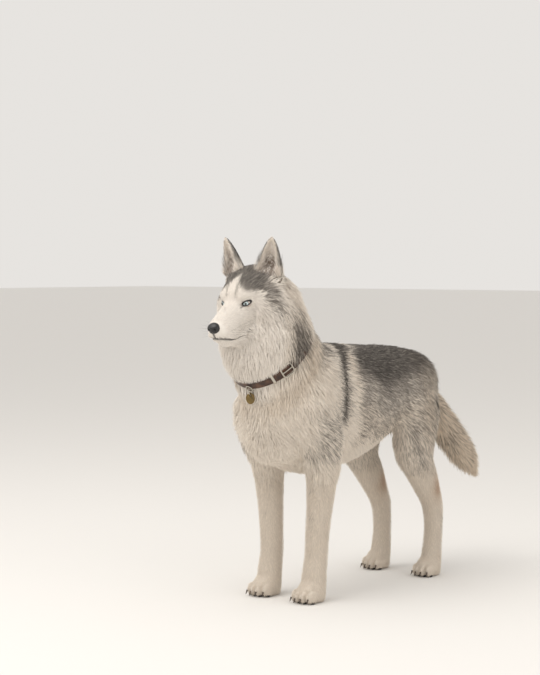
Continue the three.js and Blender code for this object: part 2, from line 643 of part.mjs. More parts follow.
// The ruff of the cheeks and throat runs back over the neck.
const cheeks = shag(throatCore, HEAD_PATH, {
  seed: 14, rows: 1, across: 10, from: 0.26, to: 0.26, start: Math.PI - 0.35, sweep: Math.PI + 0.7,
  long: 56, wide: 20, thick: 5.5, rise: CHEEK_DEPTH - 1, lie: toward(0, 1, -0.6),
});
const throat = shag(throatCore, HEAD_PATH, {
  seed: 15, rows: 1, across: 5, from: 0.45, to: 0.45, start: Math.PI + 0.6, sweep: Math.PI - 1.2,
  long: 62, wide: 19, thick: 5.5, rise: CHEEK_DEPTH - 1, lie: toward(0, 0.6, -1),
});
const cheekRuff = (grow) => cheeks(grow).add(throat(grow));
const neckGrown = neckSleeve(GAP + 0.2).intersect(halfSpace(HEAD_CUT.at, HEAD_CUT.facing.map((c) => -c), -GAP));
const headPlain = place(headWhole).intersect(above(HEAD_CUT));
nodes.push({ name: "head", made: headPlain, look: CREAM_COAT });
add("nose", place(noseNode), NOSE_LEATHER);
for (const e of eyes) {
  add(`eye_${e.name}`, place(ball(EYE_RADIUS, e.centre)), EYE_GLASS);
  add(`ear_${e.name}`, place(ear(e.side).subtract(headGrown)), GREY_COAT);
}

// Collar
const collarAxis = new THREE.Vector3(...COLLAR.axis).normalize();
const collarAt = new THREE.Vector3(...COLLAR.at);
const collarSide = new THREE.Vector3(1, 0, 0);
const collarFront = new THREE.Vector3().crossVectors(collarSide, collarAxis).normalize();

// A point on the collar: turned from the dog's left to its front, `out` from the strap's inner face, `up` along it.
function onCollar(turn, out, up) {
  const way = collarSide.clone().multiplyScalar(Math.cos(turn)).addScaledVector(collarFront, Math.sin(turn));
  const far = reach(bodyCore, collarAt, way, 200) - COLLAR.sunk + out;
  return collarAt.clone().addScaledVector(way, far).addScaledVector(collarAxis, up);
}

// A band round the neck, or a short stretch of one, with a four-cornered section.
function band(wide, inner, outer, start = 0, sweep = 2 * Math.PI, around = 36) {
  const corners = [[outer, wide / 2], [inner, wide / 2], [inner, -wide / 2], [outer, -wide / 2]];
  const whole = sweep > 6;
  if (whole) {
    const g = new THREE.TorusGeometry(1, 0.3, 4, around);
    const uv = g.attributes.uv;
    for (let i = 0; i < uv.count; i++) {
      const turn = (Math.round(uv.getX(i) * around) % around) / around;
      const [out, up] = corners[Math.round(uv.getY(i) * 4) % 4];
      g.attributes.position.setXYZ(i, ...onCollar(start + turn * sweep, out, up).toArray());
    }
    return solid(g);
  }
  const g = new THREE.BoxGeometry(1, 1, 1, around, 1, 1);
  const p = g.attributes.position;
  for (let i = 0; i < p.count; i++) {
    const [out, up] = [p.getY(i) > 0 ? outer : inner, p.getZ(i) * wide];
    p.setXYZ(i, ...onCollar(start + (p.getX(i) + 0.5) * sweep, out, up).toArray());
  }
  return solid(g);
}

const strap = band(COLLAR.width, 0, COLLAR.thick);
const strapRoom = band(COLLAR.width + 2 * GAP, -GAP, COLLAR.thick + 40);
const frontTurn = Math.PI / 2;
const keeper = band(COLLAR.width + 5, -0, COLLAR.thick + 2.4, frontTurn - 0.62, 0.09, 3)
  .subtract(band(COLLAR.width + 2 * GAP, -9, COLLAR.thick + GAP, frontTurn - 0.8, 0.4, 12));
const buckleFrame = band(COLLAR.width + 9, COLLAR.thick + GAP, COLLAR.thick + 4, frontTurn - 1.06, 0.26, 5)
  .subtract(band(COLLAR.width - 3, COLLAR.thick - 3, COLLAR.thick + 8, frontTurn - 1.01, 0.16, 3));

const fittingsRoom = band(COLLAR.width + 10, -1, 60, frontTurn - 1.12, 0.62, 10);
const upperRuff = shag(napeCore, NECK_PATH, {
  seed: 13, rows: 1, across: 10, from: 0.6, to: 0.6, start: 0, sweep: 2 * Math.PI,
  long: 52, wide: 22, thick: 6, rise: RUFF_DEPTH - 4, lie: (p, axis) => axis.clone().negate(),
});
const collarRoom = strapRoom.add(fittingsRoom);
const neckLocks = upperRuff().add(lowerRuff().subtract(trunkGrown.intersect(below(NECK_CUT))));
const neckWhole = neckPlain.add(neckLocks.intersect(below(HEAD_CUT))).subtract(collarRoom);
add("neck", neckWhole.subtract(place(cheekRuff(GAP + 0.1))), GREY_COAT);
const headNode = nodes.find((n) => n.name === "head");
headNode.made = largest(headPlain.add(place(cheekRuff(0)).subtract(neckGrown).subtract(collarRoom)));
add("collar_strap", strap, COLLAR_LEATHER);
add("collar_keeper", keeper, STEEL);
add("collar_buckle", buckleFrame, STEEL);

// A loop lies on the strap's front, a ring hangs in it, and the tag hangs in the ring, plumb.
const wireRing = (radius) => new THREE.TorusGeometry(radius, RING_WIRE, 5, 14);
const loopAt = onCollar(frontTurn, COLLAR.thick + RING_WIRE + GAP, -COLLAR.width / 2 + 2);
const loopTilt = Math.atan2(collarAxis.y, collarAxis.z);
const loop = solid(wireRing(LOOP_RADIUS).rotateX(Math.PI / 2 - loopTilt)).translate(loopAt.toArray());
const loopFoot = loopAt.clone().addScaledVector(collarAxis, -LOOP_RADIUS);
const slack = RING_RADIUS - 2 * RING_WIRE - GAP;
const ringAt = loopFoot.clone().add(new THREE.Vector3(0, -0.62 * slack, -0.78 * slack));
const ring = solid(wireRing(RING_RADIUS).rotateY(Math.PI / 2)).translate(ringAt.toArray());
const holeRadius = RING_WIRE + 1;
const holeDrop = TAG_LUG + holeRadius;
const tagTop = ringAt.z - RING_RADIUS + RING_WIRE + 1.5 * GAP - holeRadius + holeDrop;
const tagAt = new THREE.Vector3(ringAt.x, ringAt.y, tagTop - TAG_RADIUS);
const tag = solid(new THREE.CylinderGeometry(TAG_RADIUS, TAG_RADIUS, TAG_THICK, 32))
  .subtract(solid(new THREE.CylinderGeometry(holeRadius, holeRadius, 20, 12)).translate([0, 0, TAG_RADIUS - holeDrop]))
  .translate(tagAt.toArray());
const loopRoom = joined([loop, ring, tag].map((r) => r.boundingBox()).map(({ min, max }) => {
  const size = max.map((c, k) => c - min[k] + 2 * GAP);
  const middle = max.map((c, k) => (c + min[k]) / 2);
  return solid(new THREE.BoxGeometry(...size)).translate(middle);
}));
add("tag_loop", loop, STEEL);
add("tag_ring", ring, STEEL);
add("tag", tag, BRASS);
nodes.find((n) => n.name === "neck").made = largest(nodes.find((n) => n.name === "neck").made.subtract(loopRoom));

// The dog's own frame is centred over its outline, on the floor.
const box = joined(nodes.map((n) => n.made)).boundingBox();
const [middleX, middleY] = [0, 1].map((k) => (box.min[k] + box.max[k]) / 2);
const dog = new THREE.Group();
dog.name = "siberian_husky";
for (const { name, made, look } of nodes) {
  const mesh = made.translate([-middleX, -middleY, 0]).getMesh();
  const g = new THREE.BufferGeometry();
  g.setAttribute("position", new THREE.BufferAttribute(mesh.vertProperties, 3));
  g.setIndex(new THREE.BufferAttribute(mesh.triVerts, 1));
  const node = new THREE.Mesh(g, look);
  node.name = name;
  dog.add(node);
}

export default dog;
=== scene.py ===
# A standing Siberian husky: skin, coat, face, ears and collar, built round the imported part.
# The forms are reckoned in millimetres, in the dog's own frame, and every piece is made in metres.
import math

import bmesh
import bpy
import numpy as np
from mathutils import Matrix, Vector


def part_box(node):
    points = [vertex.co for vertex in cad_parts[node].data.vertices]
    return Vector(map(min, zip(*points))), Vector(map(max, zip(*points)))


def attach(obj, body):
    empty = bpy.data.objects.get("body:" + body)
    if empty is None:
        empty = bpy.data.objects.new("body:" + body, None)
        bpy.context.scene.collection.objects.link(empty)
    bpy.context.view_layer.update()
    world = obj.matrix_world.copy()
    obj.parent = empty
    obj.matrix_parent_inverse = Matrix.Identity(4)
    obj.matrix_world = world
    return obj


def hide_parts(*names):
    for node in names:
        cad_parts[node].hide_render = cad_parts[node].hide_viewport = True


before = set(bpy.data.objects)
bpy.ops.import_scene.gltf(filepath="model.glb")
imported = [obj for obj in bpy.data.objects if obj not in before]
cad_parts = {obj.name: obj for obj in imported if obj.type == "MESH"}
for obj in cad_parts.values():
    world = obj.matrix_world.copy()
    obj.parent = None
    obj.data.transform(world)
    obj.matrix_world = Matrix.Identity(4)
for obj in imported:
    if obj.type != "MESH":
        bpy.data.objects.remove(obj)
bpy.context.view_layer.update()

MM = 0.001
COLLAR_SUNK = 0.6
GAP = 0.3
COAT_SHARE = 0.8
UP = np.array([0.0, 0.0, 1.0])

# Forms: a field is negative inside, and close to the distance in millimetres.


def ease(t):
    c = np.clip(t, 0, 1)
    return c * c * (3 - 2 * c)


def soft_min(a, b, k):
    h = np.maximum(k - np.abs(a - b), 0) / k
    return np.minimum(a, b) - h * h * k / 4


def unit(v):
    return v / np.maximum(np.linalg.norm(v, axis=-1, keepdims=True), 1e-9)


def mass(p, centre, radii, tilt=0.0, turn=0.0):
    """An ellipsoid, tilted about X and then turned about Z, in degrees."""
    ct, st = math.cos(math.radians(tilt)), math.sin(math.radians(tilt))
    cu, su = math.cos(math.radians(turn)), math.sin(math.radians(turn))
    d = p - np.array(centre, float)
    ax, ay = cu * d[:, 0] + su * d[:, 1], -su * d[:, 0] + cu * d[:, 1]
    q = np.stack([ax, ct * ay + st * d[:, 2], -st * ay + ct * d[:, 2]], 1)
    r = np.array(radii, float)
    near = np.linalg.norm(q / r, axis=1)
    steep = np.maximum(np.linalg.norm(q / r**2, axis=1), 1e-9)
    return near * (near - 1) / steep


def smooth_stops(stops, steps=3):
    """Catmull-Rom between stops of any width."""
    s = [np.array(a, float) for a in stops]
    out = []
    for i in range(len(s) - 1):
        p, q, r, u = s[max(i - 1, 0)], s[i], s[i + 1], s[min(i + 2, len(s) - 1)]
        for t in np.arange(steps) / steps:
            out.append(q + 0.5 * t * (r - p + t * (2 * p - 5 * q + 4 * r - u + t * (3 * (q - r) + u - p))))
    return np.array([*out, s[-1]])


def limb(p, stops):
    """A limb through stops of x, y, z, radius and half width across X."""
    s = smooth_stops(stops)
    best = np.full(len(p), 1e3)
    for a, b in zip(s[:-1], s[1:]):
        d = b[:3] - a[:3]
        t = np.clip((p - a[:3]) @ d / (d @ d), 0, 1)
        r, w = a[3] + t * (b[3] - a[3]), a[4] + t * (b[4] - a[4])
        e = p - a[:3] - t[:, None] * d
        e[:, 0] *= r / w
        best = np.minimum(best, (np.linalg.norm(e, axis=1) - r) * np.minimum(1, w / r))
    return best


TRUNK = [
    (0, -250, 452, 66, 80), (0, -208, 468, 110, 98), (0, -150, 450, 158, 117), (0, -80, 449, 156, 122),
    (0, 0, 454, 144, 122), (0, 80, 468, 124, 115), (0, 150, 484, 104, 106), (0, 205, 498, 84, 100),
    (0, 254, 500, 62, 86),
]
BREAST = ((0, -244, 424), (90, 66, 98), -14)
NECK = [(0, -160, 504, 98, 90), (0, -228, 552, 119, 105), (0, -268, 604, 118, 109), (0, -283, 654, 99, 106),
        (0, -286, 702, 78, 92)]
SHOULDER = [(68, -165, 530, 52, 36), (90, -208, 450, 66, 44), (92, -190, 380, 60, 44), (84, -168, 322, 42, 36)]
FORELEG = [(84, -174, 376, 37, 36), (83, -173, 318, 35, 36), (79, -171, 262, 34, 35), (74, -172, 205, 31, 32),
           (70, -174, 150, 29, 30), (68, -175, 105, 29, 29), (68, -182, 62, 29, 31), (68, -186, 14, 29, 31)]
THIGH = [(54, 222, 490, 80, 50), (76, 206, 424, 86, 50), (84, 196, 366, 66, 44), (86, 186, 330, 46, 38)]
HINDLEG = [(86, 188, 352, 54, 42), (86, 200, 310, 52, 39), (85, 232, 256, 42, 34), (84, 266, 202, 32, 29),
           (82, 281, 165, 27, 27), (81, 285, 120, 25, 25), (80, 282, 78, 25, 26), (80, 274, 14, 26, 28)]
HOCK = ((82, 296, 174), (12, 12, 20), 20)
TAIL = [(0, 268, 520, 26, 26), (0, 310, 498, 32, 30), (4, 354, 452, 40, 36), (12, 402, 392, 47, 42),
        (22, 450, 334, 48, 42), (34, 494, 280, 37, 32), (42, 522, 240, 15, 13)]
FORE_PAW = (68, -198, 54, 33)  # x, y, length and width
HIND_PAW = (80, 262, 50, 30)
BODY_BLEND = 26


def other_side(stops):
    return [(-s[0], *s[1:]) for s in stops]


def both(stops):
    return [stops, other_side(stops)]


def body_field(p):
    f = soft_min(limb(p, TRUNK), mass(p, *BREAST), BODY_BLEND)
    for stops in [NECK, *both(SHOULDER), *both(THIGH)]:
        f = soft_min(f, limb(p, stops), BODY_BLEND)
    return f


def paw_masses(x, y, long, wide):
    toes = []
    for n in (-1.5, -0.5, 0.5, 1.5):
        place = (x + n * wide * 0.5, y - long * (0.58 - 0.13 * abs(n)), 16)
        toes.append((place, (wide * 0.26, long * 0.38, 17), -8, n * -7))
    return [((x, y, 24), (wide * 0.9, long * 0.64, 27), 0, 0), *toes]


def paws_field(p):
    f = np.full(len(p), 1e3)
    for x, y, long, wide in (FORE_PAW, HIND_PAW):
        for side in (1, -1):
            for m in paw_masses(side * x, y, long, wide):
                f = soft_min(f, mass(p, *m), 5)
    return f


# The head's own frame: origin in the skull, muzzle along -Y
HEAD_PLACE = np.array([0.0, -332.0, 712.0])
HEAD_TURN, HEAD_NOD = math.radians(4), math.radians(19)
HEAD_AXES = np.array(Matrix.Rotation(HEAD_TURN, 3, "Z") @ Matrix.Rotation(HEAD_NOD, 3, "X"))


def to_head(p):
    return (p - HEAD_PLACE) @ HEAD_AXES


def from_head(h):
    return np.asarray(h, float) @ HEAD_AXES.T + HEAD_PLACE


MUZZLE = [(0, -40, -12, 38, 40), (0, -76, -20, 36, 34), (0, -106, -25, 32, 29), (0, -131, -26, 25, 24)]
JAW = [(0, 40, -44, 60, 66), (0, -22, -54, 40, 47), (0, -78, -60, 26, 30), (0, -116, -58, 16, 20)]
HEAD_MASSES = [((0, 14, 16), (63, 72, 54), 0, 0), ((0, -30, 20), (43, 38, 34), -20, 0)]
for s in (1, -1):
    HEAD_MASSES += [
        ((s * 48, 6, -18), (34, 50, 46), 0, s * 14),  # cheeks
        ((s * 58, 34, -40), (34, 44, 44), 0, s * 20),  # cheek ruff
        ((s * 45, 26, 36), (27, 28, 28), 0, 0),  # the ears' roots
        ((s * 24, -48, 24), (15, 13, 9), -24, 0),  # brows
        ((s * 14, -116, -36), (16, 29, 20), 0, 0),  # lips
    ]
HEAD_BLEND = 16


def head_field(h):
    f = soft_min(limb(h, MUZZLE), limb(h, JAW), HEAD_BLEND)
    for m in HEAD_MASSES:
        f = soft_min(f, mass(h, *m), HEAD_BLEND)
    return f


def legs_field(p):
    f = np.full(len(p), 1e3)
    for stops in [*both(FORELEG), *both(HINDLEG)]:
        f = np.minimum(f, limb(p, stops))
    for s in (1, -1):
        (x, y, z), radii, tilt = HOCK
        f = soft_min(f, mass(p, (s * x, y, z), radii, tilt), 14)
    return f


def whole_field(p):
    f = soft_min(body_field(p), legs_field(p), BODY_BLEND)
    f = soft_min(f, paws_field(p), 10)
    f = soft_min(f, head_field(to_head(p)), BODY_BLEND)
    return soft_min(f, limb(p, TAIL), 12)


# Where the coat is deep: how far the skin lies under the coat's outline, in millimetres
FACE_DEPTH, SKULL_DEPTH, CHEEK_DEPTH, NECK_DEPTH, TRUNK_DEPTH = 1.6, 4.0, 8.0, 14.0, 9.0
LEG_DEPTH, PAW_DEPTH, TAIL_SHARE = 4.5, 2.4, 0.62


def nearest(p):
    """Soft shares of head, body, legs and tail at each point."""
    fields = np.stack([head_field(to_head(p)), body_field(p), legs_field(p), limb(p, TAIL)], 1)
    e = np.exp(-np.clip((fields - fields.min(1, keepdims=True)) / 9.0, 0, 40))
    return e / e.sum(1, keepdims=True)


def coat_depth(p):
    h = to_head(p)
    share = nearest(p)
    back = ease((h[:, 1] + 62) / 80)
    low = ease((30 - h[:, 2]) / 60)
    on_head = FACE_DEPTH + (SKULL_DEPTH - FACE_DEPTH) * back + (CHEEK_DEPTH - SKULL_DEPTH) * back * low
    on_head += 5 * ease((h[:, 1] - 15) / 40) * low
    neck = ease((-120 - p[:, 1]) / 80) * ease((p[:, 2] - 330) / 90)
    on_body = TRUNK_DEPTH + (NECK_DEPTH - TRUNK_DEPTH) * neck
    on_leg = PAW_DEPTH + (LEG_DEPTH - PAW_DEPTH) * ease((p[:, 2] - 30) / 60) + 5 * ease((p[:, 2] - 240) / 90)
    on_tail = np.interp(p[:, 1], [s[1] for s in TAIL] + [545], [0.52 * s[3] for s in TAIL] + [2])
    return (share * np.stack([on_head, on_body, on_leg, on_tail], 1)).sum(1)


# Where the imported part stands
def along_ray(field, start, way, most=300.0):
    """How far a ray goes before it leaves the field."""
    t = np.arange(0, most, 2.0)
    f = field(start + t[:, None] * way)
    out = np.argmax(f > 0)
    low, high = t[out - 1], t[out]
    for _ in range(14):
        middle = (low + high) / 2
        if field((start + middle * way)[None])[0] < 0:
            low = middle
        else:
            high = middle
    return low


EYE_START, EYE_FACING, EYE_RADIUS, EYE_PROUD = (12, -20, 4), (0.48, -0.86, 0.1), 11.0, 1.5


def eye_place(side):
    way = unit(np.array([side * EYE_FACING[0], EYE_FACING[1], EYE_FACING[2]]))
    start = np.array([side * EYE_START[0], EYE_START[1], EYE_START[2]], float)
    return start + way * (along_ray(head_field, start, way, 80.0) - EYE_RADIUS + EYE_PROUD), way


low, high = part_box("eye_left")
SHIFT = np.array((low + high) / 2) / MM - from_head(eye_place(1)[0])
print("shift", SHIFT)


def placed(p):
    """From the dog's own millimetres to the frame's metres."""
    return (np.asarray(p, float) + SHIFT) * MM


# Colours, as they look on screen
def colour(red, green, blue):
    c = np.array([red, green, blue], float) / 255
    return np.where(c <= 0.04045, c / 12.92, ((c + 0.055) / 1.055) ** 2.4)


WHITE, CREAM, TAN = colour(243, 237, 230), colour(233, 223, 210), colour(203, 181, 154)
GREY, SMOKE, DARK = colour(150, 143, 133), colour(98, 92, 87), colour(40, 37, 36)
BLACK, RUST, PINK = colour(16, 15, 15), colour(168, 118, 80), colour(196, 160, 146)


def mix(a, b, t):
    share = np.clip(np.asarray(t, float), 0, 1)
    return a + (b - a) * (share[:, None] if share.ndim else share)


def bump_at(value, centre, width):
    return np.exp(-(((value - centre) / width) ** 2))


def line_distance(a, b, stops):
    """Distance of points (a, b) from a polyline of (a, b) stops."""
    best = np.full(len(a), 1e3)
    q = np.stack([a, b], 1)
    for s, e in zip(stops[:-1], stops[1:]):
        s, e = np.array(s, float), np.array(e, float)
        t = np.clip((q - s) @ (e - s) / ((e - s) @ (e - s)), 0, 1)
        best = np.minimum(best, np.linalg.norm(q - s - t[:, None] * (e - s), axis=1))
    return best


def ripple(p, scale, seed=0.0):
    """Smooth noise of about -1 to 1."""
    q = p / scale + seed
    return (
        np.sin(q[:, 0] * 1.7 + np.sin(q[:, 1] * 1.3 + seed)) + np.sin(q[:, 1] * 2.1 + np.sin(q[:, 2] * 1.9))
        + np.sin(q[:, 2] * 1.5 + np.sin(q[:, 0] * 2.3 - seed))
    ) / 3


SHOULDER_STRIPE = [(0, 604), (-70, 590), (-118, 545), (-130, 500), (-146, 436), (-150, 415)]  # y and z
PALE_STRIPE = [(30, 604), (-45, 590), (-92, 545), (-100, 495), (-110, 440), (-100, 392)]
SADDLE_EDGE = [(-75, 468), (-20, 444), (30, 424), (90, 432), (150, 452), (215, 468), (260, 476)]
MOUTH = [(-150, -42), (-141, -46), (-124, -54), (-103, -59), (-82, -58), (-65, -50)]  # y and z in the head's frame


def markings(p):
    """Pale colour, dark colour and how dark the coat is, at each point."""
    wobble = ripple(p, 26.0) * 7 + ripple(p, 9.0, 2.0) * 3
    x, y, z = np.abs(p[:, 0]), p[:, 1] + wobble, p[:, 2] + wobble
    share = nearest(p)
    h = to_head(p)
    hx, hy, hz = np.abs(h[:, 0]), h[:, 1], h[:, 2]
    n = len(p)
    # Body
    edge = np.interp(y, [s[0] for s in SADDLE_EDGE], [s[1] for s in SADDLE_EDGE])
    behind = ease((y + 95 - 0.25 * (z - 450)) / 26)
    saddle = ease((z - edge + 18) / 60) * behind
    top = ease((z - edge - 45) / 70) * behind
    flank = ease((z - 352) / 50) * ease((y + 105) / 40) * (1 - saddle) * ease((250 - y) / 60)
    grey = 0.36 * flank + 0.46 * saddle + 0.34 * top
    shoulder = line_distance(y, z, SHOULDER_STRIPE)
    stripe = np.exp(-((shoulder / 12) ** 2)) * ease((z - 405) / 40)
    pale = line_distance(y, z, PALE_STRIPE)
    grey = grey * (1 - 0.9 * np.exp(-((pale / 12) ** 2)))
    arm = ease((y + 262) / 40) * ease((-150 - y) / 22) * ease((z - 318) / 50) * ease((500 - z) / 60)
    arm *= ease((x - 62) / 30)
    mantle = ease((z - 555) / 40) * ease((y + 235) / 45) * ease((-70 - y) / 60)
    band = np.exp(-((line_distance(y, z, [(-205, 612), (-248, 540), (-290, 490)]) / 30) ** 2))
    grey = np.maximum(grey, 0.30 * arm)
    grey = np.maximum(grey, 0.55 * mantle)
    front_wash = np.exp(-((shoulder / 36) ** 2)) * ease((z - 400) / 50) * ease((-96 - y) / 20)
    grey = np.maximum(grey, 0.36 * front_wash)
    grey = np.maximum(grey, 0.97 * stripe)
    neck_side = ease((z - 556) / 30) * ease((x - 74) / 24) * ease((y + 312) / 24) * ease((-215 - y) / 30)
    nape = ease((y + 262) / 40) * ease((z - 600) / 30) * ease((70 - x) / 40)
    throat = ease((-306 - y) / 20)
    grey = np.maximum(grey, 0.62 * neck_side * (1 - throat))
    grey = np.maximum(grey, 0.6 * nape)
    grey *= 1 - 0.65 * band * (1 - stripe) * (1 - nape)
    rump = ease((y - 150) / 60) * ease((z - 300) / 90)
    grey = np.maximum(grey, 0.36 * rump)
    grey = np.maximum(grey, 0.8 * bump_at(y, 248, 20) * bump_at(z, 461, 18))
    streak = line_distance(y, z, [(150, 395), (166, 330), (190, 290)])
    grey = np.maximum(grey, 0.6 * np.exp(-((streak / 10) ** 2)) * ease((x - 90) / 20))
    belly = ease((372 - z) / 40) * ease((120 - y) / 40)
    grey *= 1 - 0.9 * belly * (1 - arm)
    inner = ease((70 - x) / 30) * ease((400 - z) / 50)
    grey *= 1 - 0.9 * inner
    tan = 0.22 * rump + 0.3 * band + 0.18 * flank + 0.2 * neck_side
    # Legs
    leg_dark = 0.30 * ease((z - 250) / 70) * ease((y - 100) / 30)
    fore_line = bump_at(y, -206, 6) * ease((z - 90) / 40) * ease((300 - z) / 60) * ease((x - 60) / 8)
    hock_line = bump_at(y, 300, 9) * ease((z - 90) / 40) * ease((230 - z) / 40)
    legs = np.maximum(leg_dark, 0.18 * fore_line + 0.3 * hock_line)
    legs = np.maximum(legs, 0.30 * arm)
    leg_tan = 0.16 + 0.35 * bump_at(y, 268, 24) * bump_at(z, 236, 34)
    # Tail
    along = ease((y - 280) / 90)
    tail = 0.2 + 0.12 * ripple(p, 20.0, 4.0) - 0.14 * ease((y - 470) / 50)
    tail_tan = 0.38 * along + 0.15
    # Head
    wave = 3 * ripple(p, 8.0, 3.0)
    edge = 42 - 0.70 * (hx - 20) + wave
    cap = ease((hz - edge + 3) / 10) * ease((hy + 72) / 10)  # the dark cap
    cap *= 1 - ease((hy - 4 + 0.25 * hz) / 12) * ease((hx - 50) / 12)
    blaze = np.exp(-((hx / 7) ** 2)) * ease((-10 - hy) / 30)
    furrow = np.exp(-(((hx - 13) / 3.4) ** 2)) * ease((hz - 20) / 12) * ease((hy + 84) / 12) * ease((-28 - hy) / 20)
    band_at = line_distance(hy + wave, hz, [(-26, 22), (-20, 4), (-6, -16), (4, -46)])
    temple = np.exp(-((band_at / 13) ** 2)) * ease((hx - 50) / 12)
    brow = np.exp(-(((hx - 25) / 11) ** 2)) * bump_at(hz, 27, 9) * ease((-30 - hy) / 16)
    behind_ear = ease((hy - 18) / 20)
    head = np.maximum((0.78 + 0.12 * wave / 3) * cap * (1 - 0.8 * blaze), 0.5 * furrow)
    head = np.maximum(head, 0.80 * temple)
    head *= 1 - 0.85 * brow
    head = np.maximum(head, 0.42 * behind_ear * ease((-38 - hz) / 26) * ease((hx - 36) / 20))
    head = np.maximum(head, 0.16 * behind_ear)
    head_tan = 0.35 * behind_ear * (1 - cap) + 0.16 * ease((hx - 40) / 20)
    bridge = np.exp(-((hx / 9) ** 2)) * ease((-86 - hy) / 14) * ease((hz - 2) / 8)
    head = np.maximum(head, 0.12 * bridge)
    dark = (share * np.stack([head, grey, legs, tail], 1)).sum(1)
    warm = (share * np.stack([head_tan, tan, leg_tan, tail_tan], 1)).sum(1)
    white = share[:, 0] * (1 - head) * 0.7 + share[:, 1] * ease((-300 - p[:, 1]) / 30) * 0.5
    pale_colour = mix(mix(np.tile(CREAM, (n, 1)), TAN, warm), WHITE, white)
    rusty = bump_at(y, 268, 26) * bump_at(z, 236, 30)
    pale_colour = mix(pale_colour, RUST, 0.45 * rusty)
    dark_colour = mix(np.tile(SMOKE, (n, 1)), DARK, ease((dark - 0.4) / 0.6))
    return pale_colour, dark_colour, np.clip(dark, 0, 1)


# Making pieces
def piece(name, mesh, material, *nodes):
    o = bpy.data.objects.new(name, mesh)
    bpy.context.scene.collection.objects.link(o)
    if material:
        mesh.materials.append(material)
    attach(o, "root")
    if nodes:
        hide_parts(*nodes)
    return o


def mesh_of(name, bm, smooth=True):
    mesh = bpy.data.meshes.new(name)
    for f in bm.faces:
        f.smooth = smooth
    bm.to_mesh(mesh)
    bm.free()
    return mesh


def corners_of(mesh):
    co = np.empty(len(mesh.vertices) * 3)
    mesh.vertices.foreach_get("co", co)
    return co.reshape(-1, 3)


def set_corners(mesh, co):
    mesh.vertices.foreach_set("co", np.ascontiguousarray(co, np.float32).ravel())
    mesh.update()


def normals_of(mesh):
    n = np.empty(len(mesh.vertices) * 3)
    mesh.vertices.foreach_get("normal", n)
    return n.reshape(-1, 3)


def copies(name, one, places, axes):
    """One mesh of many copies of a small one, each with its own place and three axes in millimetres."""
    co = corners_of(one)
    points = placed(places[:, None] + np.einsum("vk,nkd->nvd", co, axes)).reshape(-1, 3)
    one.calc_loop_triangles()
    tris = np.array([t.vertices[:] for t in one.loop_triangles])
    faces = (tris[None] + np.arange(len(places))[:, None, None] * len(co)).reshape(-1, 3)
    mesh = bpy.data.meshes.new(name)
    mesh.from_pydata(points.tolist(), [], faces.tolist())
    mesh.polygons.foreach_set("use_smooth", np.ones(len(faces), bool))
    bm = bmesh.new()
    bm.from_mesh(mesh)
    bmesh.ops.recalc_face_normals(bm, faces=bm.faces)
    bm.to_mesh(mesh)
    bm.free()
    return mesh


def applied(o):
    """The object's mesh with its modifiers applied."""
    dg = bpy.context.evaluated_depsgraph_get()
    dg.update()
    mesh = bpy.data.meshes.new_from_object(o.evaluated_get(dg))
    o.modifiers.clear()
    o.data = mesh
    return mesh


def paint(mesh, name, rgb):
    layer = mesh.color_attributes.new(name, "FLOAT_COLOR", "POINT")
    rgba = np.ones((len(mesh.vertices), 4), np.float32)
    rgba[:, :3] = rgb
    layer.data.foreach_set("color", rgba.ravel())


# Materials
def material(name, base=None, rough=0.5, layer=None, **sockets):
    m = bpy.data.materials.new(name)
    m.use_nodes = True
    nodes, links = m.node_tree.nodes, m.node_tree.links
    shader = nodes["Principled BSDF"]
    shader.inputs["Roughness"].default_value = rough
    if base is not None:
        shader.inputs["Base Color"].default_value = (*base, 1)
    for key, value in sockets.items():
        shader.inputs[key.replace("_", " ")].default_value = value
    if layer:
        read = nodes.new("ShaderNodeVertexColor")
        read.layer_name = layer
        links.new(read.outputs["Color"], shader.inputs["Base Color"])
    return m


def add_node(m, kind, **values):
    n = m.node_tree.nodes.new(kind)
    for key, value in values.items():
        if key in n.inputs.keys():
            n.inputs[key].default_value = value
        else:
            setattr(n, key, value)
    return n


def join_nodes(m, a, out, b, into):
    m.node_tree.links.new(a.outputs[out], b.inputs[into])


def grain(m, kind, scale, height, distance=0.001, output="Fac", **values):
    """Bump from a noise or cell texture on Object coordinates."""
    where = add_node(m, "ShaderNodeTexCoord")
    texture = add_node(m, kind, **values)
    texture.inputs["Scale"].default_value = scale
    bump = add_node(m, "ShaderNodeBump", Strength=height, Distance=distance)
    join_nodes(m, where, "Object", texture, "Vector")
    join_nodes(m, texture, output, bump, "Height")
    m.node_tree.links.new(bump.outputs["Normal"], m.node_tree.nodes["Principled BSDF"].inputs["Normal"])
    return texture


hide_look = material("short_coat", rough=0.75, layer="coat", Specular_IOR_Level=0.25)
grain(hide_look, "ShaderNodeTexNoise", 420.0, 0.5, 0.0012)
coat_look = material("coat", rough=0.62, layer="coat", Specular_IOR_Level=0.22)
nose_look = material("nose_leather", colour(20, 18, 18), 0.34, Coat_Weight=0.25, Coat_Roughness=0.3)
grain(nose_look, "ShaderNodeTexVoronoi", 900.0, 0.35, 0.0006, "Distance")
rim_look = material("eye_rim", colour(14, 12, 12), 0.4)
eye_look = material("eye", rough=0.12, layer="iris", Coat_Weight=1.0, Coat_Roughness=0.02)
claw_look = material("claw", colour(88, 76, 66), 0.4)
grain(claw_look, "ShaderNodeTexNoise", 300.0, 0.2, 0.0005)
pad_look = material("paw_pad", colour(30, 26, 25), 0.7)
grain(pad_look, "ShaderNodeTexVoronoi", 700.0, 0.5, 0.0006, "Distance")
whisker_look = material("whisker", colour(60, 55, 50), 0.35)
steel_look = material("steel", colour(196, 190, 178), 0.28, Metallic=1.0)
grain(steel_look, "ShaderNodeTexNoise", 900.0, 0.12, 0.0004)
brass_look = material("brass", colour(128, 108, 70), 0.36, Metallic=1.0)
grain(brass_look, "ShaderNodeTexNoise", 500.0, 0.25, 0.0004)
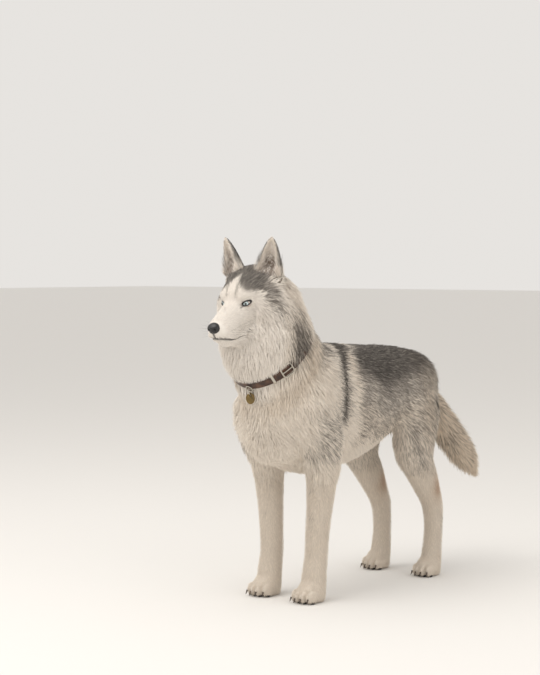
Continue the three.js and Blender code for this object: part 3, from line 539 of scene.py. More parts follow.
strap_look = material("collar_leather", colour(58, 38, 28), 0.5)
hide_cells = grain(strap_look, "ShaderNodeTexVoronoi", 620.0, 0.35, 0.0005, "Distance")
wear = add_node(strap_look, "ShaderNodeTexNoise")
wear.inputs["Scale"].default_value = 60.0
wear.inputs["Detail"].default_value = 6.0
ramp = add_node(strap_look, "ShaderNodeValToRGB")
ramp.color_ramp.elements[0].position, ramp.color_ramp.elements[0].color = 0.38, (*colour(50, 32, 24), 1)
ramp.color_ramp.elements[1].position, ramp.color_ramp.elements[1].color = 0.68, (*colour(92, 62, 44), 1)
where = add_node(strap_look, "ShaderNodeTexCoord")
join_nodes(strap_look, where, "Object", wear, "Vector")
join_nodes(strap_look, wear, "Fac", ramp, "Fac")
join_nodes(strap_look, ramp, "Color", strap_look.node_tree.nodes["Principled BSDF"], "Base Color")

# Skin: balls along every limb, remeshed into one surface and drawn on to the forms


def ball_matrix(place, axis, radii):
    turn = Vector((0, 0, 1)).rotation_difference(Vector(axis)).to_matrix().to_4x4()
    return Matrix.Translation(Vector(place) * MM) @ turn @ Matrix.Diagonal((*[r * MM for r in radii], 1))


def add_balls(bm, stops, inset, share=0.0):
    for x, y, z, r, w in smooth_stops(stops):
        inner, across = max(r - inset - share * r, 6), max(w - inset - share * w, 6)
        bmesh.ops.create_icosphere(bm, subdivisions=2, radius=1, matrix=ball_matrix((x, y, z), UP, (across, inner, inner)))


def rough_body():
    bm = bmesh.new()
    add_balls(bm, TRUNK, TRUNK_DEPTH)
    add_balls(bm, NECK, NECK_DEPTH - 2)
    for stops in both(SHOULDER):
        add_balls(bm, stops, TRUNK_DEPTH)
    for stops in both(THIGH):
        add_balls(bm, stops, TRUNK_DEPTH)
    for stops in [*both(FORELEG), *both(HINDLEG)]:
        add_balls(bm, stops, LEG_DEPTH)
    add_balls(bm, TAIL, 0, TAIL_SHARE)
    for x, y, long, wide in (FORE_PAW, HIND_PAW):
        for side in (1, -1):
            for place, radii, _, _ in paw_masses(side * x, y, long, wide):
                inner = [r - PAW_DEPTH for r in radii]
                bmesh.ops.create_icosphere(bm, subdivisions=2, radius=1, matrix=ball_matrix(place, UP, inner))
    turn = Matrix(HEAD_AXES.tolist()).to_4x4()
    for stops in (MUZZLE, JAW):
        for x, y, z, r, w in smooth_stops(stops):
            scale = Matrix.Diagonal(((w - 4) * MM, (r - 4) * MM, (r - 4) * MM, 1))
            at = Matrix.Translation(Vector(from_head((x, y, z))) * MM)
            bmesh.ops.create_icosphere(bm, subdivisions=2, radius=1, matrix=at @ turn @ scale)
    for place, radii, _, _ in HEAD_MASSES:
        scale = Matrix.Diagonal((*[max(r - 6, 4) * MM for r in radii], 1))
        at = Matrix.Translation(Vector(from_head(place)) * MM)
        bmesh.ops.create_icosphere(bm, subdivisions=2, radius=1, matrix=at @ turn @ scale)
    return mesh_of("skin", bm)


def refine(mesh, wanted):
    """Cuts every edge in two where both its ends are wanted."""
    bm = bmesh.new()
    bm.from_mesh(mesh)
    bm.verts.ensure_lookup_table()
    edges = [e for e in bm.edges if wanted[e.verts[0].index] and wanted[e.verts[1].index]]
    bmesh.ops.subdivide_edges(bm, edges=edges, cuts=1, use_grid_fill=True)
    bmesh.ops.triangulate(bm, faces=[f for f in bm.faces if len(f.verts) > 4])
    bm.to_mesh(mesh)
    bm.free()


def draw_on(mesh, turns, step=1.0):
    """Moves each corner along its normal until it lies under the coat."""
    for _ in range(turns):
        p = corners_of(mesh) / MM
        far = whole_field(p) + coat_depth(p)
        set_corners(mesh, (p - normals_of(mesh) * np.clip(far, -12, 12)[:, None] * step) * MM)


def relax(mesh, turns, share=0.5):
    """Evens out the corners along the surface."""
    edges = np.empty(len(mesh.edges) * 2, int)
    mesh.edges.foreach_get("vertices", edges)
    a, b = edges.reshape(-1, 2).T
    for _ in range(turns):
        co = corners_of(mesh)
        total, count = np.zeros_like(co), np.zeros(len(co))
        for s, e in ((a, b), (b, a)):
            for k in range(3):
                total[:, k] += np.bincount(s, co[e, k], len(co))
            count += np.bincount(s, minlength=len(co))
        move = total / np.maximum(count, 1)[:, None] - co
        n = normals_of(mesh)
        set_corners(mesh, co + share * (move - n * (move * n).sum(1, keepdims=True) * 0.6))


EYE_LONG, EYE_OVER, EYE_UNDER, EYE_TILT = 9.6, 5.4, 4.2, math.radians(13)


def eye_frame(side):
    """Centre, across (towards the outer corner), up and facing, in the head's frame."""
    centre, facing = eye_place(side)
    across = unit(np.cross(facing, UP) * -side)
    over = unit(np.cross(across, facing) * side)
    if over[2] < 0:
        over = -over
    if across[0] * side < 0:
        across = -across
    a = across * math.cos(EYE_TILT) + over * math.sin(EYE_TILT)
    b = over * math.cos(EYE_TILT) - across * math.sin(EYE_TILT)
    return centre, a, b, facing


def in_eye(h, side):
    """Place in the eye's frame, and 1 on the lids' edge, less inside."""
    centre, a, b, c = eye_frame(side)
    d = h - centre
    q = np.stack([d @ a, d @ b, d @ c], 1)
    tall = np.where(q[:, 1] > 0, EYE_OVER, EYE_UNDER)
    return q, np.sqrt((q[:, 0] / EYE_LONG) ** 2 + (q[:, 1] / tall) ** 2)


def sculpt_face(mesh):
    """The lids close on the eyeballs, and the mouth's line and lips are drawn in."""
    p = corners_of(mesh) / MM
    h = to_head(p)
    for side in (1, -1):
        centre, a, b, c = eye_frame(side)
        q, edge = in_eye(h, side)
        close = (q[:, 2] > -3) & (edge < 2.4) & (np.linalg.norm(q, axis=1) < 24)
        on_ball = np.sqrt(np.maximum(EYE_RADIUS**2 - q[:, 0] ** 2 - q[:, 1] ** 2, 4))
        lid = on_ball + 1.5
        share = ease((edge - 1.0) / 1.2)
        raised = np.maximum(lid * (1 - share) + q[:, 2] * share, np.where(edge < 1.35, lid, -99))
        target = np.where(edge < 0.98, on_ball - 3.0, raised)
        h[close] += np.outer((target - q[:, 2])[close], c)
    gape = line_distance(h[:, 1], h[:, 2], MOUTH)
    side_on = ease((np.abs(h[:, 0]) - 3) / 5) * ease((h[:, 1] + 150) / 6) * ease((-60 - h[:, 1]) / 8)
    n = normals_of(mesh) @ HEAD_AXES
    outward = np.abs(n[:, 0]) > 0.2
    cut = -2.2 * np.exp(-((gape / 1.5) ** 2)) + 0.9 * np.exp(-(((gape - 4.2) / 2.6) ** 2))
    h += n * (cut * side_on * outward * (np.abs(h[:, 0]) < 40))[:, None]
    set_corners(mesh, from_head(h) * MM)


def make_skin():
    o = bpy.data.objects.new("skin", rough_body())
    bpy.context.scene.collection.objects.link(o)
    wrap = o.modifiers.new("one_surface", "REMESH")
    wrap.mode, wrap.voxel_size, wrap.use_smooth_shade = "VOXEL", 0.0052, True
    mesh = applied(o)
    relax(mesh, 3)
    draw_on(mesh, 3)
    relax(mesh, 3)
    draw_on(mesh, 2)
    h = to_head(corners_of(mesh) / MM)
    refine(mesh, (h[:, 1] < 45) & (h[:, 2] > -75) & (np.linalg.norm(h, axis=1) < 190))
    relax(mesh, 1)
    draw_on(mesh, 1)
    h = to_head(corners_of(mesh) / MM)
    gape = line_distance(h[:, 1], h[:, 2], MOUTH)
    near_eye = np.minimum(*[np.linalg.norm(h - eye_place(s)[0], axis=1) for s in (1, -1)]) < 24
    refine(mesh, near_eye | ((gape < 6) & (np.abs(h[:, 0]) < 36) & (h[:, 1] < -58)))
    draw_on(mesh, 1)
    sculpt_face(mesh)
    co = corners_of(mesh)
    co[:, 2] = np.maximum(co[:, 2], 0.0008)
    set_corners(mesh, co + SHIFT * MM)
    bpy.context.view_layer.objects.active = o
    o.select_set(True)
    bpy.ops.object.mode_set(mode="EDIT")
    bpy.ops.mesh.select_all(action="SELECT")
    bpy.ops.uv.smart_project(angle_limit=math.radians(66), island_margin=0.002)
    bpy.ops.object.mode_set(mode="OBJECT")
    o.select_set(False)
    mesh.uv_layers[0].name = "OFBake"
    return o, mesh


def skin_colours(p, shade=1.0):
    pale, dark, much = markings(p)
    speck = ripple(p, 2.2, 1.0) * 0.10
    return mix(pale, dark, much * 0.92 + speck * (much > 0.05)) * shade


skin, skin_mesh = make_skin()
skin_points = corners_of(skin_mesh) / MM - SHIFT
skin_rgb = skin_colours(skin_points, 0.9)
skin_head = to_head(skin_points)
lip_width = 1.6 + 1.2 * ease((-112 - skin_head[:, 1]) / 26)
lip = np.exp(-((line_distance(skin_head[:, 1], skin_head[:, 2], MOUTH) / lip_width) ** 2))
lip *= (skin_head[:, 1] < -62) * (np.abs(skin_head[:, 0]) < 40)
philtrum = np.exp(-((skin_head[:, 0] / 3.0) ** 2)) * (skin_head[:, 1] < -132) * (skin_head[:, 2] > -48)
skin_rgb = mix(skin_rgb, BLACK, np.maximum(lip, philtrum * (skin_head[:, 2] < -24)) * 0.92)
for s in (1, -1):
    q, edge = in_eye(skin_head, s)
    liner = ease((1.55 - edge) / 0.35) * (np.linalg.norm(q, axis=1) < 22)
    inner_corner = np.exp(-(((q[:, 0] + 12.5) / 4) ** 2 + ((q[:, 1] + 2.5) / 2.2) ** 2)) * (np.linalg.norm(q, axis=1) < 26)
    skin_rgb = mix(skin_rgb, BLACK, np.maximum(liner, 0.8 * inner_corner))
paint(skin_mesh, "coat", skin_rgb)
skin_mesh.materials.clear()
skin_mesh.materials.append(hide_look)
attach(skin, "root")
FLESH = [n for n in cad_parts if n.split("_")[0] in
         ("chest", "loin", "foreleg", "fore", "thigh", "hock", "hind", "tail", "head", "neck")]
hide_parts(*FLESH)
print("skin", len(skin_mesh.vertices), len(skin_mesh.polygons))

# Coat: thin tapered tufts along the lie of the hair
random = np.random.default_rng(7)


def sample(mesh, density):
    """Roots on a mesh: place in millimetres, normal and spot on its unwrap. density is roots for each square centimetre."""
    mesh.calc_loop_triangles()
    tris = np.empty(len(mesh.loop_triangles) * 3, int)
    mesh.loop_triangles.foreach_get("vertices", tris)
    loops = np.empty(len(mesh.loop_triangles) * 3, int)
    mesh.loop_triangles.foreach_get("loops", loops)
    tris, loops = tris.reshape(-1, 3), loops.reshape(-1, 3)
    co, n = corners_of(mesh), normals_of(mesh)
    uv = np.empty(len(mesh.loops) * 2)
    mesh.uv_layers["OFBake"].data.foreach_get("uv", uv)
    uv = uv.reshape(-1, 2)
    a, b, c = co[tris[:, 0]], co[tris[:, 1]], co[tris[:, 2]]
    area = np.linalg.norm(np.cross(b - a, c - a), axis=1) / 2
    middle = (a + b + c) / 3 / MM - SHIFT
    wanted = area * 1e4 * density(middle, n[tris].mean(1)) * COAT_SHARE
    many = np.floor(wanted + random.random(len(wanted))).astype(int)
    pick = np.repeat(np.arange(len(tris)), many)
    r1, r2 = np.sqrt(random.random(len(pick))), random.random(len(pick))
    w = np.stack([1 - r1, r1 * (1 - r2), r1 * r2], 1)[:, :, None]
    root = (co[tris[pick]] * w).sum(1) / MM - SHIFT
    normal = unit((n[tris[pick]] * w).sum(1))
    return root, normal, (uv[loops[pick]] * w).sum(1)


def tufts(name, root, normal, way, long, wide, lift, rgb_root, rgb_mid, rgb_tip, spot, look, curl=0.1, floor=0.6):
    """One closed, three-sided, bent and tapered tuft for each root."""
    n = len(root)
    side = unit(np.cross(way, normal))
    way = unit(way - normal * (way * normal).sum(1, keepdims=True))
    swing = side * (random.normal(0, curl, n) * long)[:, None]
    rise = np.sin(lift)[:, None] * long[:, None]
    run = np.cos(lift)[:, None] * long[:, None]
    mid = root + way * run * 0.5 + normal * rise * 0.66 + swing * 0.3
    tip = root + way * run + normal * rise + swing
    foot = root - normal * np.minimum(0.1 * long, 1.5)[:, None] - way * 0.05 * long[:, None]
    half = side * (wide / 2)[:, None]
    thick = normal * (wide * 0.34)[:, None]
    ring0 = np.stack([foot + half * 0.9, foot - half * 0.9, foot + thick * 0.9], 1)
    ring1 = np.stack([mid + half * 0.8, mid - half * 0.8, mid + thick * 0.8], 1)
    points = np.concatenate([ring0, ring1, tip[:, None]], 1)
    points[:, :, 2] = np.maximum(points[:, :, 2], floor)
    tri = np.array([(0, 1, 4), (0, 4, 3), (1, 2, 5), (1, 5, 4), (2, 0, 3), (2, 3, 5), (3, 4, 6), (4, 5, 6), (5, 3, 6), (0, 2, 1)])
    faces = (np.arange(n)[:, None, None] * 7 + tri).reshape(-1, 3)
    mesh = bpy.data.meshes.new(name)
    mesh.vertices.add(n * 7)
    mesh.vertices.foreach_set("co", (placed(points.reshape(-1, 3))).astype(np.float32).ravel())
    mesh.loops.add(len(faces) * 3)
    mesh.loops.foreach_set("vertex_index", faces.astype(np.int32).ravel())
    mesh.polygons.add(len(faces))
    mesh.polygons.foreach_set("loop_start", np.arange(0, len(faces) * 3, 3, dtype=np.int32))
    mesh.polygons.foreach_set("loop_total", np.full(len(faces), 3, np.int32))
    mesh.polygons.foreach_set("use_smooth", np.ones(len(faces), bool))
    mesh.update()
    rgb = np.concatenate([np.repeat(rgb_root[:, None], 3, 1), np.repeat(rgb_mid[:, None], 3, 1), rgb_tip[:, None]], 1)
    paint(mesh, "coat", rgb.reshape(-1, 3))
    offset = np.array([(-1, -1), (1, -1), (0, -1), (-1, 0), (1, 0), (0, 0), (0, 1)]) * 0.0015
    uv = np.clip(spot, 0.002, 0.998)[:, None] + offset
    layer = mesh.uv_layers.new(name="OFBake")
    layer.data.foreach_set("uv", uv.reshape(-1, 2)[faces.ravel()].astype(np.float32).ravel())
    # The upper faces are lit as the skin under them is, so that the coat reads as one soft surface
    own = np.empty(len(mesh.loops) * 3, np.float32)
    mesh.corner_normals.foreach_get("vector", own)
    flat = np.empty(len(faces) * 3, np.float32)
    mesh.polygons.foreach_get("normal", flat)
    flat = np.repeat(flat.reshape(-1, 3), 3, 0)
    under = np.repeat(np.repeat(normal, len(tri), 0), 3, 0)
    soft = unit(under * 0.8 + own.reshape(-1, 3) * 0.35)
    lit = np.where(((soft * flat).sum(1) > 0.05)[:, None], soft, own.reshape(-1, 3))
    mesh.normals_split_custom_set(lit.astype(np.float32))
    return piece(name, mesh, look)


def lie_of(p, normal):
    """Which way the hair runs."""
    h = to_head(p)
    share = nearest(p)
    up = ease((h[:, 2] - 4) / 30)
    front = ease((-60 - h[:, 1]) / 30)
    on_head = np.stack([
        np.clip(h[:, 0] / 25, -1, 1) * (0.30 - 0.18 * front),
        np.ones(len(p)),
        -0.45 + 0.75 * up + 0.25 * front,
    ], 1) @ HEAD_AXES.T
    x, y, z = p.T
    neck = ease((-150 - y) / 60) * ease((z - 420) / 60)
    breast = ease((-250 - y) / 40)
    low = ease((420 - z) / 80)
    rear = ease((y - 150) / 60)
    on_body = np.stack([
        np.clip(x / 50, -1, 1) * (0.10 + 0.12 * breast),
        0.95 - 0.55 * neck - 0.45 * breast - 0.25 * low - 0.35 * rear,
        -0.22 - 0.75 * neck - 0.35 * low - 0.6 * rear - 0.4 * ease(np.abs(x) / 110),
    ], 1)
    on_leg = np.tile([0.0, 0.22, -1.0], (len(p), 1))
    on_leg[:, 1] -= 0.75 * ease((32 - z) / 30)
    on_tail = np.tile([0.06, 0.66, -0.75], (len(p), 1))
    lie = sum(share[:, k : k + 1] * unit(v) for k, v in enumerate((on_head, on_body, on_leg, on_tail)))
    lie += random.normal(0, 0.085, lie.shape)
    return unit(lie - normal * (lie * normal).sum(1, keepdims=True))


def hair_length(p):
    h = to_head(p)
    share = nearest(p)
    back = ease((h[:, 1] + 75) / 90)
    low = ease((20 - h[:, 2]) / 50)
    ruff = ease((h[:, 1] - 5) / 40) * low
    on_head = 5.5 + 7 * back + 12 * back * low * ease((h[:, 1] + 20) / 40) + 16 * ruff
    y, z = p[:, 1], p[:, 2]
    neck = ease((-150 - y) / 60) * ease((z - 380) / 80)
    rear = ease((y - 215) / 50) * ease((z - 240) / 60)
    on_body = 27 + 9 * neck + 10 * rear
    on_leg = 9 + 12 * ease((z - 230) / 90) + 12 * ease((y - 235) / 40) * ease((z - 235) / 50) - 3 * ease((60 - z) / 40)
    on_tail = 32 + 14 * ease((y - 320) / 80) - 24 * ease((y - 455) / 60)
    return (share * np.stack([on_head, on_body, on_leg, on_tail], 1)).sum(1)


def tuft_colours(p, much, pale, dark, strength=1.0):
    """Banded hairs: pale at the root, darker to the tip where the coat is dark. The pale colour is painted a tenth
    darker at the roots as shade among the hairs, and a little lighter at the tips as painted light.
    """
    n = len(p)
    luck = random.random(n)
    tone = np.exp(random.normal(0, 0.06, n))[:, None]
    drawn = ease((much * 1.35 + (luck - 0.5) * 0.75 - 0.18) / 0.5) * (much > 0.03)
    full = ease((much - 0.34) / 0.36)
    grizzle = 1 - 0.4 * random.random(n) ** 2
    # Painted shade at the roots (pale times 0.90) and painted light at the tips (pale times 1.04)
    root = mix(pale * 0.90, dark, drawn * (0.30 + 0.50 * full) * grizzle)
    mid = mix(pale, dark, drawn * (0.62 + 0.33 * full) * grizzle)
    tip = mix(pale * 1.04, dark * 0.8, drawn)
    return root * tone, mid * tone, np.clip(tip * tone, 0, 0.95)


def density(p, normal):
    h = to_head(p)
    share = nearest(p)
    back = ease((h[:, 1] + 40) / 80)
    on_head = 30 - 12 * back
    return share @ np.array([0, 17.0, 20.0, 20.0]) + share[:, 0] * on_head


def clear_of_face(p):
    """False where a tuft would cover the eyes, the nose or the lips."""
    h = to_head(p)
    keep = np.ones(len(p), bool)
    for s in (1, -1):
        q, edge = in_eye(h, s)
        keep &= ~((edge < 1.5) & (np.linalg.norm(q, axis=1) < 24))
        keep &= ~((np.abs(q[:, 0] + 12.5) < 4) & (np.abs(q[:, 1] + 2.5) < 2) & (np.linalg.norm(q, axis=1) < 26))
    gape = 1.6 + 0.9 * ease((-112 - h[:, 1]) / 26)
    keep &= ~((line_distance(h[:, 1], h[:, 2], MOUTH) < gape) & (h[:, 1] < -62) & (np.abs(h[:, 0]) < 40))
    keep &= ~((np.abs(h[:, 0]) < 2.6) & (h[:, 1] < -132) & (h[:, 2] > -48) & (h[:, 2] < -20))
    keep &= ~((h[:, 1] < -139) & (h[:, 2] > -33) & (h[:, 2] < -5))
    return keep


COLLAR_AT = np.array([0.0, -256.0, 594.0])
COLLAR_AXIS = unit(np.array([0.0, -0.69, 0.72]))
COLLAR_WIDTH = 24.0

roots, root_normals, spots = sample(skin_mesh, density)
keep = clear_of_face(roots)
across = (roots - COLLAR_AT) @ COLLAR_AXIS
on_neck = (roots[:, 1] < -120) & (roots[:, 2] > 440) & (roots[:, 2] < 720)
keep &= ~(on_neck & (np.abs(across) < COLLAR_WIDTH / 2 + 1))
roots, root_normals, spots = roots[keep], root_normals[keep], spots[keep]
lengths = hair_length(roots) * np.exp(random.normal(0, 0.16, len(roots)))
depths = coat_depth(roots)
# Tufts just over the strap are short, so that it shows
across = (roots - COLLAR_AT) @ COLLAR_AXIS
on_neck = (roots[:, 1] < -120) & (roots[:, 2] > 440) & (roots[:, 2] < 760)
aside = roots - COLLAR_AT
from_front = np.abs(np.arctan2(aside[:, 0], -(aside @ np.array([0, 0.72, 0.69]))))
over = on_neck & (across > 0) & (across < 60) & (from_front < 1.28)
lengths = np.where(over, np.minimum(lengths, 10 + (across - COLLAR_WIDTH / 2) * 0.95), lengths)
lifts = np.arcsin(np.clip(depths * 0.95 / lengths, 0.06, 0.62)) * np.exp(random.normal(0, 0.12, len(roots)))
lifts = np.where(over, lifts * 0.8, lifts)
widths = np.clip(0.55 + lengths * 0.046, 0.75, 2.4) * np.exp(random.normal(0, 0.2, len(roots)))
pales, darks, muches = markings(roots)
rgb0, rgb1, rgb2 = tuft_colours(roots, muches, pales, darks)
ways = lie_of(roots, root_normals)
share = nearest(roots)
region = share.argmax(1)
names = np.array(["head", "body", "legs", "tail"])
for k, name in enumerate(names):
    where = np.flatnonzero(region == k)
    order = where[np.argsort(roots[where, 1], kind="stable")]
    for part, chosen in enumerate(np.array_split(order, max(1, math.ceil(len(order) / 18500)))):
        tufts(f"coat_{name}_{part + 1}", roots[chosen], root_normals[chosen], ways[chosen], lengths[chosen],
              widths[chosen], lifts[chosen], rgb0[chosen], rgb1[chosen], rgb2[chosen], spots[chosen], coat_look)
print("tufts", len(roots))

# Ears
EAR_PLACE, EAR_HEIGHT, EAR_HALF_WIDTH, EAR_DEPTH, EAR_WALL = (48, 24, 50), 86, 40, 17, 4
EAR_FLOOR, EAR_CURL, EAR_LEAN, EAR_REAR, EAR_TURN, EAR_ROOT = 10, 7, 11, 16, 14, -34


def ear_share(rise):
    return np.clip((rise + 30) / (EAR_HEIGHT + 30), 0, 1)


def ear_spread(rise):
    v = ear_share(rise)
    flare = 0.62 + 0.38 * np.sin(np.clip(v / 0.34, 0, 1) * 0.5 * math.pi)
    return EAR_HALF_WIDTH * flare * np.sqrt(1 - v * v) * (1 - 0.4 * v)


def ear_turn(side):
    return np.array(Matrix.Rotation(side * math.radians(EAR_LEAN), 3, "Y") @ Matrix.Rotation(-math.radians(EAR_REAR), 3, "X")
                    @ Matrix.Rotation(side * math.radians(EAR_TURN), 3, "Z"))


def make_ear(side, name):
    bm = bmesh.new()
    bmesh.ops.create_uvsphere(bm, u_segments=40, v_segments=36, radius=1)
    mesh = mesh_of("ear_" + name, bm)
    s = corners_of(mesh)
    v = (s[:, 2] + 1) / 2
    v = np.arccos(np.clip(1 - 2 * v, -1, 1)) / math.pi
    angle = np.arctan2(s[:, 1], s[:, 0])
    closed = np.where((v < 1e-4) | (v > 1 - 1e-4), 0, 1)
    rise = EAR_ROOT + (EAR_HEIGHT - EAR_ROOT) * v
    wide = closed * np.maximum(ear_spread(rise) - 1.0, 0.6)
    out = wide * np.cos(angle)
    bend = EAR_CURL * (out / EAR_HALF_WIDTH) ** 2 - 9 * ear_share(rise) ** 2
    deep = EAR_DEPTH * wide / EAR_HALF_WIDTH
    back = deep * np.sin(angle)
    # The front is pressed in to make the cup, with a rolled rim
    inner = np.maximum(wide - EAR_WALL, 0.1)
    hollow = np.sqrt(np.maximum(1 - (out / inner) ** 2, 0)) * deep - EAR_WALL * 1.1
    in_cup = (np.sin(angle) < 0) & (rise > EAR_FLOOR - 6) & (rise < EAR_HEIGHT - 5)
    sink = ease((rise - EAR_FLOOR + 6) / 16) * ease((EAR_HEIGHT - 5 - rise) / 10) * ease((inner - np.abs(out)) / 3.0)
    back = np.where(in_cup, back + (np.maximum(hollow, back) - back) * sink, back)
    local = np.stack([out, back + bend, rise], 1)
    h = local @ ear_turn(side).T + np.array([side * EAR_PLACE[0], EAR_PLACE[1], EAR_PLACE[2]])
    set_corners(mesh, placed(from_head(h)))
    inside = (np.sin(angle) < -0.1) & (np.abs(out) < wide - 2.5) & (rise > 0)
    rim = ease((np.abs(out) - wide * 0.72) / (wide * 0.25 + 1e-6))
    # Inside the ear, painted shade: cream and tan turn brown towards the middle of the cup and its base, where the
    # hollow is deepest
    rgb_in = mix(mix(np.tile(CREAM, (len(h), 1)), TAN, 0.30), colour(92, 70, 56), 0.9 * ease(1 - np.abs(out) / (wide + 1e-6)) * ease((56 - rise) / 40))
    rgb_out = mix(mix(np.tile(GREY, (len(h), 1)), DARK, 0.55 + 0.35 * rim), TAN, 0.25 * ease((20 - rise) / 40))
    rgb = np.where(inside[:, None], rgb_in, rgb_out)
    bm = bmesh.new()
    bm.from_mesh(mesh)
    bmesh.ops.recalc_face_normals(bm, faces=bm.faces)
    mesh2 = mesh_of("ear_" + name, bm)
    paint(mesh2, "coat", rgb)
    o = piece("ear_" + name, mesh2, hide_look, "ear_" + name)
    bpy.context.view_layer.objects.active = o
    o.select_set(True)
    bpy.ops.object.mode_set(mode="EDIT")
    bpy.ops.mesh.select_all(action="SELECT")
    bpy.ops.uv.smart_project(angle_limit=math.radians(66), island_margin=0.01)
    bpy.ops.object.mode_set(mode="OBJECT")
    o.select_set(False)
    mesh2.uv_layers[0].name = "OFBake"
    return o


def ear_coat(o, side, name):
    place, normal, spot = sample(o.data, lambda p, n: np.full(len(p), 34.0))
    h = to_head(place)
    local = (h - np.array([side * EAR_PLACE[0], EAR_PLACE[1], EAR_PLACE[2]])) @ ear_turn(side)
    rise, out = local[:, 2], local[:, 0]
    wide = ear_spread(rise)
    to_front = (normal @ HEAD_AXES) @ ear_turn(side)
    inside = to_front[:, 1] < -0.15
    near_rim = ease((np.abs(out) / (wide + 1e-6) - 0.45) / 0.4)
    keep = (rise > -6)
    n = len(h)
    up = np.tile([0.0, 0.0, 1.0], (n, 1))
    # Inner hairs spring from the front edge across the cup, and the back's lie runs to the tip
    across_cup = np.stack([-np.sign(out) * 0.55 * side * side, np.full(n, -0.2), np.full(n, 1.0)], 1)
    local_way = np.where(inside[:, None], across_cup, up)
    way = unit(local_way @ ear_turn(side).T @ HEAD_AXES.T + random.normal(0, 0.12, (n, 3)))
    long = np.where(inside, 9 + 15 * near_rim * ease((52 - rise) / 40), 6.5) * np.exp(random.normal(0, 0.18, n))
    long *= 1 - 0.45 * ease((rise - 50) / 30)
    lift = np.where(inside, 0.30, 0.18)
    luck = random.random(n)
    pale = mix(np.tile(WHITE, (n, 1)), TAN, 0.1 + 0.35 * luck)
    # Painted shade: hairs towards the middle of the cup and low on the ear are mixed towards brown, where the hollow
    # is deepest
    deep = mix(pale, colour(96, 74, 60), 0.85 * (1 - near_rim) * ease((62 - rise) / 40))
    rim_dark = ease((np.abs(out) / (wide + 1e-6) - 0.80) / 0.12) * ease((rise + 5) / 30)
    inner = mix(np.where(luck[:, None] < 0.35, pale, deep), DARK, 0.75 * rim_dark)
    outer = mix(np.tile(SMOKE, (n, 1)), DARK, 0.4 + 0.6 * luck)
    outer = mix(outer, TAN, 0.5 * ease((26 - rise) / 40) * luck)
    rgb = np.where(inside[:, None], inner, outer)
    k = keep
    # The ear hairs' roots are painted darker (0.85) as shade among the hairs, and their tips lighter (1.06) as painted
    # light
    tufts("coat_ear_" + name, place[k], normal[k], way[k], long[k], np.full(k.sum(), 1.1), lift[k],
          rgb[k] * 0.85, rgb[k], rgb[k] * 1.06, spot[k], coat_look, curl=0.06)


for s, name in ((1, "left"), (-1, "right")):
    ear_coat(make_ear(s, name), s, name)

# Eyes: the iris is painted round the axis of the gaze
GAZE = {1: (0.16, -0.98, 0.02), -1: (-0.30, -0.95, 0.02)}


def make_eye(side, name):
    bm = bmesh.new()
    bmesh.ops.create_uvsphere(bm, u_segments=64, v_segments=96, radius=(EYE_RADIUS - 0.1) * MM)
    mesh = mesh_of("eye_" + name, bm)
    centre, _, _, facing = eye_frame(side)
    gaze = unit(np.array(GAZE[side], float) * 0.55 + facing * 0.45) @ HEAD_AXES.T
    turn = np.array(Vector((0, 0, 1)).rotation_difference(Vector(gaze)).to_matrix())
    co = corners_of(mesh)
    off = np.degrees(np.arccos(np.clip(co[:, 2] / np.linalg.norm(co, axis=1), -1, 1)))
    spoke = np.arctan2(co[:, 1], co[:, 0])
    ray = 0.5 + 0.5 * np.sin(spoke * 29 + 2 * np.sin(spoke * 7))
    iris = mix(np.tile(colour(186, 206, 210), (len(co), 1)), colour(226, 236, 234), ray * 0.7)
    iris = mix(iris, colour(92, 112, 122), ease((off - 29) / 6))
    iris = mix(iris, colour(150, 178, 186), ease((22 - off) / 10) * 0.5)
    white = np.tile(colour(205, 190, 180), (len(co), 1))
    rgb = mix(iris, colour(22, 24, 28), ease((off - 34) / 3))
    rgb = mix(rgb, white, ease((off - 37) / 3))
    rgb = mix(rgb, colour(4, 4, 5), ease((15.5 - off) / 2.0))
    paint(mesh, "iris", rgb)
    set_corners(mesh, co @ turn.T + placed(from_head(centre)))
    o = piece("eye_" + name, mesh, eye_look, "eye_" + name)


def tube(name, points, radius, look, closed=False, ends=0.0, sides=6):
    """A round wire along points, in the dog's millimetres."""
    curve = bpy.data.curves.new(name, "CURVE")
    curve.dimensions, curve.bevel_depth, curve.bevel_resolution = "3D", radius * MM, max(1, sides // 2 - 1)
    curve.use_fill_caps = not closed
    line = curve.splines.new("POLY")
    line.points.add(len(points) - 1)
    for spot, q in zip(line.points, placed(points)):
        spot.co = (*q, 1)
        spot.radius = 1
    line.use_cyclic_u = closed
    o = bpy.data.objects.new(name, curve)
    bpy.context.scene.collection.objects.link(o)
    mesh = applied_curve(o)
    bpy.data.objects.remove(o)
    return piece(name, mesh, look)


def applied_curve(o):
    dg = bpy.context.evaluated_depsgraph_get()
    dg.update()
    mesh = bpy.data.meshes.new_from_object(o.evaluated_get(dg))
    mesh.polygons.foreach_set("use_smooth", np.ones(len(mesh.polygons), bool))
    return mesh


for s, name in ((1, "left"), (-1, "right")):
    make_eye(s, name)
    centre, a, b, c = eye_frame(s)
    turn = np.linspace(0, 2 * math.pi, 48, endpoint=False)
    u = EYE_LONG * np.cos(turn) * 1.02
    v = np.where(np.sin(turn) > 0, EYE_OVER, EYE_UNDER) * np.sin(turn)
    v = v * (1 - 0.25 * np.cos(turn) ** 2)
    w = np.sqrt(np.maximum(EYE_RADIUS**2 - u**2 - v**2, 9)) + 0.35
    ring = centre + u[:, None] * a + v[:, None] * b + w[:, None] * c
    rim = tube("eye_rim_" + name, from_head(ring), 1.15, rim_look, closed=True, sides=8)

# Nose
NOSE_PLACE, NOSE_SIZE = np.array([0, -148.5, -18.5]), np.array([15.8, 12, 12.8])


